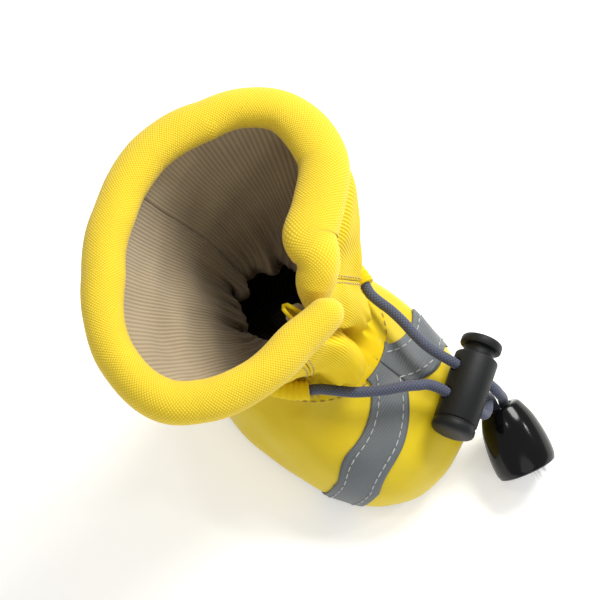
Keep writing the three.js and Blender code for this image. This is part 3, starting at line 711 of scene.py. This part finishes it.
# %% Tape
TAPE_HALF, TAPE_THICK = 5.0, 0.45
APEX = math.radians(-9)


def tape_reach(side, level):
    """Half the tape's width as an angle, measured square to its slanting line."""
    sideways, upward = stretch_of(level, tape_line(side, level))
    slope = (tape_line(side, level + 0.01) - tape_line(side, level - 0.01)) / 0.02
    return np.hypot(sideways * slope, upward) / upward / sideways


def tape_patch(side):
    def at(u, v):
        level = between(0.08, VAMP_TOP + 0.1, v)
        held = np.clip(level, 0.02, VAMP_TOP - 0.02)
        middle, half = tape_line(side, held), TAPE_HALF * tape_reach(side, held)
        low, high = middle - half, middle + half
        if side == "near":
            low, high = np.maximum(low, APEX + EDGE), np.maximum(high, APEX + 3 * EDGE)
        else:
            low, high = np.minimum(low, APEX - 3 * EDGE), np.minimum(high, APEX - EDGE)
        return level, between(low, high, u)
    return at


for side in ("near", "far"):
    tape = patch(f"tape_{side}_strip", 14, 90, tape_patch(side), -TAPE_THICK - 0.08, TAPE_THICK, tape_finish)
    cloth(tape, [f"tape_{side}"])

# %% [markdown]
# ## The cuff
# Two ribbed panels make the funnel, and between the two front seams a full gusset is drawn
# together so that it folds inwards. The ribs run up and down and die out where the gusset is
# smooth. The fleecy lining hangs inside and gathers round the ankle, which is why its folds
# point at the hole.

# %% Ribbed panels and gusset
CUFF_WALL, CUFF_LINING, CUFF_TOP, GUSSET_TOP = 0.9, 1.4, 8.86, 8.6


def cuff_patch(low, high, top=CUFF_TOP):
    def at(u, v):
        level = between(VAMP_TOP + 0.02, top, v)
        return level, between(low(level) + EDGE, high(level) - EDGE, u)
    return at


def straight_back(level):
    return math.pi + 0 * level


def ribbing(made, amount):
    """Store on each point how deep the ribs are there, from 0 to 1."""
    points = np.empty(len(made.data.vertices) * 3)
    made.data.vertices.foreach_get("co", points)
    store = made.data.attributes.new("ribbing", "FLOAT", "POINT")
    store.data.foreach_set("value", amount(points.reshape(-1, 3) / MM).astype(np.float32))


panels = {
    "near": cuff_patch(near_seam, straight_back),
    "far": cuff_patch(lambda level: -straight_back(level), far_seam),
    "gusset": cuff_patch(far_seam, near_seam, GUSSET_TOP),
}
cuff_nodes = {"near": "cuff_panel_near", "far": "cuff_panel_far", "gusset": "front_gusset"}
for side, at in panels.items():
    cols = 150 if side == "gusset" else 120
    panel = patch(cuff_nodes[side] + "_cloth", cols, 110, at, 0, CUFF_WALL, ribbed)
    if side == "gusset":
        ribbing(panel, lambda p: smoothstep(p[:, 2], 46, 60))
    else:
        ribbing(panel, lambda p: smoothstep(p[:, 2], 33, 36))
    cloth(panel, [cuff_nodes[side]])

# %% Fleecy lining
def lining_folds(level, angle, outer, inner):
    """Push the lining's inner face into soft folds that deepen towards the ankle."""
    heart = hoop_at(level)
    centre = np.stack([heart[1], heart[2], heart[0]], axis=-1)
    inwards = centre - inner
    inwards /= np.linalg.norm(inwards, axis=-1, keepdims=True)
    draw = np.exp(-((level - ANKLE) / 1.3) ** 2)
    fold = np.sin(9 * angle + 0.8 * np.sin(2 * angle))
    fold = fold + 0.55 * np.sin(17 * angle + 2) + 0.3 * np.sin(33 * angle)
    hang = 1.3 * np.sin(3 * angle + 1.1 * level) * np.sin(math.pi * np.clip((level - 5) / 4, 0, 1))
    inner = inner + inwards * (1.5 * draw * (fold + 1.2) + 0.8 * (hang + 0.8))[..., None]
    return outer, inner


panels["gusset"] = cuff_patch(far_seam, near_seam, GUSSET_TOP - 0.4)
for side, at in panels.items():
    node = {"near": "cuff_lining_near", "far": "cuff_lining_far", "gusset": "gusset_lining"}[side]
    cols = 150 if side == "gusset" else 130
    lining = patch(node + "_cloth", cols, 90, at, CUFF_WALL + 0.2, CUFF_LINING, fleece,
                   under=lining_folds if side != "gusset" else None)
    cloth(lining, [node])

# %% [markdown]
# ## The padded collar
# A roll of knitted mesh over foam goes once round the top. Its near end laps over its far end
# at the front. A swept ring with slightly uneven thickness gives the soft roll, and the knit is
# a bump on its own map.

# %% Collar roll
ROLL_RADIUS = 4.1
LAP_NEAR, LAP_FAR, LAP_OVER = math.radians(-14), math.radians(353), math.radians(30)
LAP_SIDE, LAP_DROP = 3.2, 5.5
# half width of the roll at angles round the collar
roll_widths = np.array([[-14, 3.9], [20, 4.6], [60, 4.9], [100, 4.6], [140, 4.9], [180, 5.2], [240, 4.8],
                        [280, 6], [310, 6.4], [335, 4.6], [353, 2.5]])
f = np.linspace(0, 1, 420)
roll_angle = between(LAP_NEAR, LAP_FAR, f)
near_end = 1 - smoothstep(roll_angle - LAP_NEAR, 0, LAP_OVER)
far_end = 1 - smoothstep(LAP_FAR - roll_angle, 0, LAP_OVER)
hoop = hoop_at(np.full_like(f, COLLAR))
roll_line = np.stack([hoop[1] - np.sin(roll_angle) * ring_radius(hoop, roll_angle),
                      hoop[2] - np.cos(roll_angle) * ring_radius(hoop, roll_angle), hoop[0]], axis=-1)
part_way = np.degrees(roll_angle)
k = np.clip(np.searchsorted(roll_widths[:, 0], part_way, side="left"), 1, len(roll_widths) - 1)
roll_half = between(roll_widths[k - 1, 1], roll_widths[k, 1],
                    smoothstep(part_way, roll_widths[k - 1, 0], roll_widths[k, 0]))
roll_high = np.minimum(ROLL_RADIUS, roll_half)
side_push = LAP_SIDE * (near_end - far_end) + ROLL_RADIUS - roll_half
roll_line += np.stack([-np.sin(roll_angle) * side_push, -np.cos(roll_angle) * side_push,
                       -LAP_DROP * far_end], axis=-1)
travelled = np.concatenate([[0], np.cumsum(np.linalg.norm(np.diff(roll_line, axis=0), axis=1))])
from_end = np.minimum(travelled, travelled[-1] - travelled)
tip = np.sqrt(np.clip(1 - (1 - np.clip(from_end / ROLL_RADIUS, 0, 1)) ** 2, 0.03, 1))
uneven = 1 + 0.02 * np.sin(travelled * 0.17) + 0.01 * np.sin(travelled * 0.41 + 1)


def roll_shape(i, a):
    """Flatten the round tube to its half width, and make it slightly lumpy."""
    flat = roll_half[i] / np.hypot(roll_high[i] * np.cos(a), roll_half[i] * np.sin(a))
    return flat * (1 + 0.012 * np.sin(a * 2 + i * 0.05) + 0.01 * np.sin(a * 3 - i * 0.11))


collar_roll = sweep("collar_roll", roll_line, roll_high * tip * uneven, 48, knit, shape=roll_shape)
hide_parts("collar_binding")
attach(collar_roll, "boot")
print("collar roll", round(travelled[-1]), "mm long")

# %% [markdown]
# ## Drawcord tunnel
# A narrow casing round the back of the ankle holds the cord. Drawn tight, it puckers, so the
# tube's thickness goes up and down in small pleats.

# %% Tunnel and the cord in it
MOUTH_NEAR, MOUTH_FAR, TUNNEL_RADIUS = math.radians(40), math.radians(302), 2.6


def tunnel_line(count, trim=0.0):
    angle = np.linspace(MOUTH_NEAR + trim, MOUTH_FAR - trim, count)
    hoop = hoop_at(np.full(count, float(ANKLE)))
    radius = ring_radius(hoop, angle) + TUNNEL_RADIUS + 0.9
    return np.stack([hoop[1] - np.sin(angle) * radius, hoop[2] - np.cos(angle) * radius, hoop[0]], axis=-1)


def pleats(i, a):
    return 1 + 0.045 * np.sin(i * 0.62 + 1.5 * np.sin(i * 0.05)) * (1 + 0.4 * np.cos(a)) - 0.03


tunnel = sweep("drawcord_casing", tunnel_line(620), TUNNEL_RADIUS, 26, ribbed, end_round=False, shape=pleats)
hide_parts("drawcord_tunnel")
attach(tunnel, "boot")
core = sweep("drawcord_core", tunnel_line(420, -0.012), CORD_RADIUS, 14, braid)
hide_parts("drawcord_in_tunnel")
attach(core, "boot")
print("casing", round(length_of(tunnel_line(200))), "mm round the ankle")

# %% [markdown]
# ## Sole and insole
# The sole is thin moulded rubber with grooves across it, and inside lies a soft board covered
# with the lining cloth. The sole is cut from a smooth outline by a boolean, as a mould would
# shape it.

# %% Outline plates
def rounded_plate(name, inset, low, high, edge, finish, count=180):
    """A plate of the sole's outline with rounded edges."""
    angle = np.arange(count) / count * 2 * math.pi
    rings = [(edge, low), (0.3 * edge, low + 0.3 * edge), (0, low + edge), (0, high - edge),
             (0.3 * edge, high - 0.3 * edge), (edge, high)]
    points = []
    for step_in, z in rings:
        wide = 24.4 - inset - step_in
        reach = np.where(np.cos(angle) > 0, 35.4, 34.4) - inset - step_in
        radius = (np.abs(np.sin(angle) / wide) ** 2.5 + np.abs(np.cos(angle) / reach) ** 2.5) ** -0.4
        points += np.stack([-np.sin(angle) * radius, -np.cos(angle) * radius,
                            np.full(count, z)], axis=-1).tolist()
    faces = []
    for k in range(len(rings) - 1):
        for i in range(count):
            a, b = k * count + i, k * count + (i + 1) % count
            faces.append([a, a + count, b + count, b])
    faces.append([(len(rings) - 1) * count + i for i in range(count)][::-1])
    faces.append(list(range(count)))
    flat = np.array([points[i][:2] for face in faces for i in face])
    return piece(name, points, faces, flat, finish)


def outward_faces(made, sharp=35):
    """Merge doubles, turn every face outwards and keep only the steep edges sharp."""
    bm = bmesh.new()
    bm.from_mesh(made.data)
    bmesh.ops.remove_doubles(bm, verts=bm.verts, dist=1e-7)
    bmesh.ops.recalc_face_normals(bm, faces=bm.faces)
    for face in bm.faces:
        face.smooth = True
    for edge in bm.edges:
        edge.smooth = len(edge.link_faces) == 2 and edge.calc_face_angle(0) < math.radians(sharp)
    bm.to_mesh(made.data)
    bm.free()
    return made


def cut_away(made, tools):
    """Cut each tool out of a piece and remove the tool."""
    for tool in tools:
        cutter = made.modifiers.new("cut", "BOOLEAN")
        cutter.object = tool
        cutter.solver = "EXACT"
    bpy.context.view_layer.update()
    cut = bpy.data.meshes.new_from_object(made.evaluated_get(bpy.context.evaluated_depsgraph_get()))
    made.modifiers.clear()
    made.data = cut
    for tool in tools:
        bpy.data.objects.remove(tool)
    return outward_faces(made)


def block(name, size, centre):
    bm = bmesh.new()
    bmesh.ops.create_cube(bm, size=1)
    bmesh.ops.scale(bm, vec=Vector(size) * MM, verts=bm.verts)
    bmesh.ops.translate(bm, vec=Vector(centre) * MM, verts=bm.verts)
    mesh = bpy.data.meshes.new(name)
    bm.to_mesh(mesh)
    bm.free()
    made = bpy.data.objects.new(name, mesh)
    bpy.context.scene.collection.objects.link(made)
    return made


GROOVE_WIDTH, GROOVE_PITCH = 2.2, 7.2
sole = outward_faces(rounded_plate("sole_rubber", 0, 0, 2.2, 0.3, rubber))
grooves = [block("groove", (110, GROOVE_WIDTH, 2), (0, side * (k + 0.75) * GROOVE_PITCH, 0))
           for k in range(4) for side in (-1, 1)]
cut_away(sole, grooves)
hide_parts("outsole")
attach(sole, "boot")
# The insole takes the same dark colour, painted shade for the inside of the foot.
insole = outward_faces(rounded_plate("insole_pad", 3.3, 2.5, 4.5, 0.6, painted_shade_lining))
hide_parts("insole")
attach(insole, "boot")
print("sole grooves:", 8, "sole faces:", len(sole.data.polygons))

# %% [markdown]
# ## Cord lock
# The lock is a turned shape: a barrel with a groove near its closed end, and a flanged button
# with a spring behind it. Two cross holes take the cords. A profile spun round an axis is how
# such a part is drawn, and a boolean drills the holes.

# %% Turned pieces
def turned(name, profile, origin, axes, finish, segments=96):
    """Spin a profile of radius and height round an axis. axes are the piece's own x, y and z."""
    x, y, z = (np.array(a, float) for a in axes)
    angle = np.arange(segments) / segments * 2 * math.pi
    rows, points, faces = [], [], []
    for r, h in profile:
        if r < 1e-6:
            rows.append([len(points)] * segments)
            points.append(np.array(origin) + z * h)
            continue
        rows.append(list(range(len(points), len(points) + segments)))
        points += [np.array(origin) + x * r * math.cos(a) + y * r * math.sin(a) + z * h for a in angle]
    for low, high in zip(rows, rows[1:]):
        for k in range(segments):
            corner = [low[k], low[(k + 1) % segments], high[(k + 1) % segments], high[k]]
            corner = list(dict.fromkeys(corner))
            if len(corner) > 2:
                faces.append(corner)
    return outward_faces(piece(name, points, faces, None, finish))


heading, rise = math.radians(17.3), math.radians(35)
lock_axis = np.array([math.cos(heading), math.sin(heading), 0])
pull_axis = np.array([-math.sin(heading) * math.cos(rise), math.cos(heading) * math.cos(rise),
                      math.sin(rise)])
lock_axes = (np.cross(pull_axis, lock_axis), pull_axis, lock_axis)
BUTTON_TOP = 27.1
lock_origin = np.array([14.5, -30.2, 28.8]) - lock_axis * BUTTON_TOP / 2
HOLES = (9.5, 17.5)
print("lock axis", np.round(lock_axis, 3), "pull axis", np.round(pull_axis, 3))

# %% Barrel and button
BORE = 4.4
barrel = turned("lock_barrel_shell", [
    (0, 0), (2, 0.02), (3.4, 0.1), (4.4, 0.25), (5.1, 0.55), (5.55, 0.95), (5.75, 1.45), (5.75, 2.55),
    (5.68, 2.7), (5.38, 2.86), (5.36, 3.2), (5.38, 3.54), (5.68, 3.7), (5.75, 3.85), (5.75, 21.4),
    (5.66, 21.75), (5.45, 21.95), (5.2, 22), (BORE, 22), (BORE, 1.8), (0, 1.8)],
    lock_origin, lock_axes, matte_black)
drills = [turned("drill", [(0, -12), (1.8, -12), (1.8, 12), (0, 12)], lock_origin + lock_axis * z,
                 (lock_axis, lock_axes[0], pull_axis), matte_black, 40) for z in HOLES]
cut_away(barrel, drills)
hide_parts("lock_barrel")
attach(barrel, "cord_lock")

button = turned("lock_button_cap", [
    (0, 6.8), (3.8, 6.8), (4.1, 7.1), (4.1, 24.5), (5.0, 24.5), (5.35, 24.62), (5.5, 24.9), (5.5, 26.2),
    (5.38, 26.65), (5.05, 26.97), (4.5, 27.08), (3, 27.1), (0, 27.1)], lock_origin, lock_axes, matte_black)
slots = []
for z in HOLES:
    slot_tool = block("slot", (3.4, 24, 5.6), (0, 0, 0))
    place = Matrix(np.array(lock_axes).T.tolist()).to_4x4()
    place.translation = Vector((lock_origin + lock_axis * (z - 1.7 + 2.8)) * MM)
    slot_tool.data.transform(place)
    slots.append(slot_tool)
cut_away(button, slots)
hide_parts("lock_plunger")
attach(button, "lock_button")
print("barrel faces:", len(barrel.data.polygons), "button faces:", len(button.data.polygons))

# %% The spring, a coil between the barrel's floor and the button
SPRING_WIRE, SPRING_TURNS, SPRING_RADIUS, SPRING_LOW, SPRING_HIGH = 0.5, 4, 2.9, 2.35, 6.25
turn = np.linspace(0, 1, 240)
coil = (lock_origin + lock_axis * between(SPRING_LOW, SPRING_HIGH, turn)[:, None]
        + SPRING_RADIUS * (np.cos(turn * SPRING_TURNS * 2 * math.pi)[:, None] * lock_axes[0]
                           + np.sin(turn * SPRING_TURNS * 2 * math.pi)[:, None] * lock_axes[1]))
spring = sweep("lock_spring_coil", coil, SPRING_WIRE / 2, 10, steel)
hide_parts("lock_spring")
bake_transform(spring)
print("spring", SPRING_TURNS, "turns")

# %% [markdown]
# ## Bell, knot and frayed ends
# The bell is glossy moulded plastic, spun from a curved profile. It hides the knot that keeps it
# on the cord, and the cut tails of the cord fray out of its mouth.

# %% Bell
bell_heading, bell_dip = math.radians(26.5), math.radians(20)
bell_axis = np.array([-math.sin(bell_heading) * math.cos(bell_dip),
                      -math.cos(bell_heading) * math.cos(bell_dip), -math.sin(bell_dip)])
bell_side = np.cross(bell_axis, [0, 0, 1])
bell_side /= np.linalg.norm(bell_side)
bell_axes = (bell_side, np.cross(bell_axis, bell_side), bell_axis)
bell_origin = np.array([20, -38.5, 13.65])
outer_line = smooth_line([[4.6, 0, 0], [5.25, 0, 0.35], [5.65, 0, 1], [7.15, 0, 4.7], [8.15, 0, 10],
                          [8.42, 0, 14], [8.25, 0, 17], [7.85, 0, 18.2]], 0.6)
inner_line = smooth_line([[7.3, 0, 18.5], [6.75, 0, 18.1], [6.8, 0, 16], [6.85, 0, 14], [6.6, 0, 10],
                          [5.6, 0, 5.3], [3.3, 0, 2.6]], 0.8)
bell_profile = [(3.3, 0.4), (3.6, 0.05)] + [(p[0], p[2]) for p in [*outer_line, *inner_line]]
bell = turned("bell_shell", bell_profile + [bell_profile[0]], bell_origin, bell_axes, gloss_black)
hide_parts("bell")
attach(bell, "cord_end")
print("bell faces:", len(bell.data.polygons))

# %% Knot
t = np.linspace(0, 2 * math.pi, 120)
loop = np.stack([np.sin(t) + 2 * np.sin(2 * t), np.cos(t) - 2 * np.cos(2 * t), -1.3 * np.sin(3 * t)], axis=-1)
knot_line = bell_origin + bell_axis * 8.6 + (loop * 0.9) @ np.array(bell_axes)
knot = sweep("cord_knot_loops", knot_line, 1.3, 12, braid)
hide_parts("cord_knot")
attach(knot, "boot")

# %% [markdown]
# The frayed fibres are one short strand, repeated with a fixed seed. Geometry Nodes suit this:
# points on a small disc in the mouth each get a copy that leans and varies in length.

# %% Frayed fibres by Geometry Nodes
def node_group(name, numbers):
    group = bpy.data.node_groups.new(name, "GeometryNodeTree")
    group.interface.new_socket("Geometry", in_out="INPUT", socket_type="NodeSocketGeometry")
    for socket, (kind, value) in numbers.items():
        made = group.interface.new_socket(socket, in_out="INPUT", socket_type=kind)
        if value is not None:
            made.default_value = value
    group.interface.new_socket("Geometry", in_out="OUTPUT", socket_type="NodeSocketGeometry")
    return group, group.nodes.new("NodeGroupInput"), group.nodes.new("NodeGroupOutput")


def grown(made, tree, values, name, finish):
    """Run a node tree on an object and keep the result as a plain mesh piece."""
    modifier = made.modifiers.new("nodes", "NODES")
    modifier.node_group = tree
    for item in tree.interface.items_tree:
        if item.in_out == "INPUT" and item.name in values:
            modifier[item.identifier] = values[item.name]
    made.update_tag()
    bpy.context.view_layer.update()
    depsgraph = bpy.context.evaluated_depsgraph_get()
    mesh = bpy.data.meshes.new_from_object(made.evaluated_get(depsgraph))
    made.modifiers.clear()
    bpy.data.objects.remove(made)
    mesh.name = name
    if not mesh.materials:
        mesh.materials.append(finish)
    result = bpy.data.objects.new(name, mesh)
    bpy.context.scene.collection.objects.link(result)
    return result


fray, got, out = node_group("fray", {
    "Count": ("NodeSocketInt", 40), "Spread": ("NodeSocketFloat", 0.5), "Fibre": ("NodeSocketObject", None),
    "Seed": ("NodeSocketInt", 3), "Material": ("NodeSocketMaterial", None)})
scatter = add_node(fray, "GeometryNodeDistributePointsOnFaces", {
    "Mesh": got.outputs["Geometry"], "Seed": got.outputs["Seed"]})
area_of = add_node(fray, "ShaderNodeMath", {0: got.outputs["Count"], 1: 7e-6}, operation="DIVIDE")
fray.links.new(area_of.outputs[0], scatter.inputs["Density"])
lean = add_node(fray, "FunctionNodeRandomValue", data_type="FLOAT_VECTOR")
low_lean = add_node(fray, "ShaderNodeVectorMath", {0: (-1, -1, -1)}, operation="SCALE")
fray.links.new(got.outputs["Spread"], low_lean.inputs["Scale"])
high_lean = add_node(fray, "ShaderNodeVectorMath", {0: (1, 1, 1)}, operation="SCALE")
fray.links.new(got.outputs["Spread"], high_lean.inputs["Scale"])
fray.links.new(low_lean.outputs[0], lean.inputs[0])
fray.links.new(high_lean.outputs[0], lean.inputs[1])
fray.links.new(got.outputs["Seed"], lean.inputs["Seed"])
tilt = add_node(fray, "FunctionNodeRotateRotation", {
    0: scatter.outputs["Rotation"], 1: lean.outputs["Value"]}, rotation_space="LOCAL")
grow = add_node(fray, "FunctionNodeRandomValue", {2: 0.5, 3: 1.15}, data_type="FLOAT")
strand = add_node(fray, "GeometryNodeObjectInfo", {"Object": got.outputs["Fibre"]})
copies = add_node(fray, "GeometryNodeInstanceOnPoints", {
    "Points": scatter.outputs["Points"], "Instance": strand.outputs["Geometry"],
    "Rotation": tilt.outputs["Rotation"], "Scale": grow.outputs[1]})
solid = add_node(fray, "GeometryNodeRealizeInstances", {"Geometry": copies.outputs["Instances"]})
painted = add_node(fray, "GeometryNodeSetMaterial", {"Geometry": solid.outputs["Geometry"],
                                                     "Material": got.outputs["Material"]})
fray.links.new(painted.outputs["Geometry"], out.inputs["Geometry"])

strand_line = smooth_line([[0, 0, 0], [0.15, 0.1, 2], [0.5, 0, 4.2], [0.8, 0.4, 6.2]], 0.7)
one_fibre = sweep("one_fibre", strand_line, np.linspace(0.11, 0.05, len(strand_line)), 5, pale_thread)
tails = []
for k, (a, b, depth) in enumerate(((-3, -2.5, 16.3), (-0.5, -3.5, 15.8))):
    base = bell_origin + bell_axis * depth + bell_axes[0] * a + bell_axes[1] * b
    disc = [base + bell_axes[0] * 1.2 * math.cos(q) + bell_axes[1] * 1.2 * math.sin(q)
            for q in np.arange(12) / 12 * 2 * math.pi]
    source = piece(f"tail_disc_{k}", disc, [list(range(12))], None, pale_thread, smooth=False)
    tails.append(grown(source, fray, {"Count": 34, "Spread": 0.34, "Fibre": one_fibre, "Seed": 3 + k,
                                      "Material": pale_thread}, f"frayed_tail_{k + 1}", pale_thread))
bpy.data.objects.remove(one_fibre)
for tail in tails:
    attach(tail, "boot")
    print(tail.name, "faces:", len(tail.data.polygons))

# %% [markdown]
# ## Stitches
# Every seam shows its thread. A stitch row is a line on the cloth, cut into steps of one stitch
# pitch, with a small rounded stitch laid along each step. The same node tree sews every row,
# and only its pitch, length and thickness change.

# %% The stitch tree
stitch_tree, got, out = node_group("stitch row", {
    "Pitch": ("NodeSocketFloat", 0.0025), "Length": ("NodeSocketFloat", 0.0018),
    "Thickness": ("NodeSocketFloat", 0.0004), "Material": ("NodeSocketMaterial", None)})
steps = add_node(stitch_tree, "GeometryNodeResampleCurve", {"Curve": got.outputs["Geometry"],
                                                            "Length": got.outputs["Pitch"]}, mode="LENGTH")
ball = add_node(stitch_tree, "GeometryNodeMeshUVSphere", {"Segments": 8, "Rings": 6, "Radius": 0.5})
size = add_node(stitch_tree, "ShaderNodeCombineXYZ", {0: got.outputs["Length"], 1: got.outputs["Thickness"],
                                                      2: got.outputs["Thickness"]})
heading_of = add_node(stitch_tree, "FunctionNodeAlignRotationToVector", {
    "Vector": add_node(stitch_tree, "GeometryNodeInputTangent").outputs["Tangent"]}, axis="X")
laid = add_node(stitch_tree, "GeometryNodeInstanceOnPoints", {
    "Points": steps.outputs["Curve"], "Instance": ball.outputs["Mesh"],
    "Rotation": heading_of.outputs["Rotation"], "Scale": size.outputs[0]})
solid = add_node(stitch_tree, "GeometryNodeRealizeInstances", {"Geometry": laid.outputs["Instances"]})
rounded = add_node(stitch_tree, "GeometryNodeSetShadeSmooth", {"Geometry": solid.outputs["Geometry"]})
painted = add_node(stitch_tree, "GeometryNodeSetMaterial", {"Geometry": rounded.outputs["Geometry"],
                                                            "Material": got.outputs["Material"]})
stitch_tree.links.new(painted.outputs["Geometry"], out.inputs["Geometry"])


def sew(name, rows, thread, pitch, length, thickness):
    data = bpy.data.curves.new(name, "CURVE")
    data.dimensions = "3D"
    for row in rows:
        spline = data.splines.new("POLY")
        spline.points.add(len(row) - 1)
        spline.points.foreach_set("co", np.column_stack([np.asarray(row) * MM, np.ones(len(row))]).ravel())
    line = bpy.data.objects.new(name, data)
    bpy.context.scene.collection.objects.link(line)
    made = grown(line, stitch_tree, {"Pitch": pitch * MM, "Length": length * MM, "Thickness": thickness * MM,
                                     "Material": thread}, name + "_thread", thread)
    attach(made, "boot")
    print(made.name, "stitches:", len(made.data.polygons) // 48)


# %% Rows on the tape, the seams and under the casing
def tape_row(side, offset):
    level = np.linspace(0.15, VAMP_TOP - 0.02, 160)
    angle = tape_line(side, level) + offset * tape_reach(side, level)
    keep = angle > APEX + 0.02 if side == "near" else angle < APEX - 0.02
    return skin(level[keep], angle[keep], -TAPE_THICK - 0.16)


tape_rows = [tape_row(side, offset) for side in ("near", "far") for offset in (-3.2, 3.2)]
sew("tape_stitch", tape_rows, grey_thread, 2.3, 2.0, 0.4)

seam_levels = np.linspace(VAMP_TOP + 0.2, 8.6, 260)
seam_rows = [skin(seam_levels, seam(seam_levels) + shift / 24, -0.12)
             for seam in (near_seam, far_seam) for shift in (-0.9, 0.9)]
sew("front_seam", seam_rows, brown_thread, 2.2, 1.5, 0.36)

around = np.linspace(math.radians(-50), math.radians(296), 620)
sew("casing_stitch", [skin(np.full_like(around, 4.05), around, -0.14)], brown_thread, 2.3, 1.6, 0.4)
heel_levels = np.linspace(0.3, 8.6, 240)
sew("heel_seam", [skin(heel_levels, math.pi + shift / 30 + 0 * heel_levels, -0.12) for shift in (-1.1, 1.1)],
    brown_thread, 2.4, 1.6, 0.36)
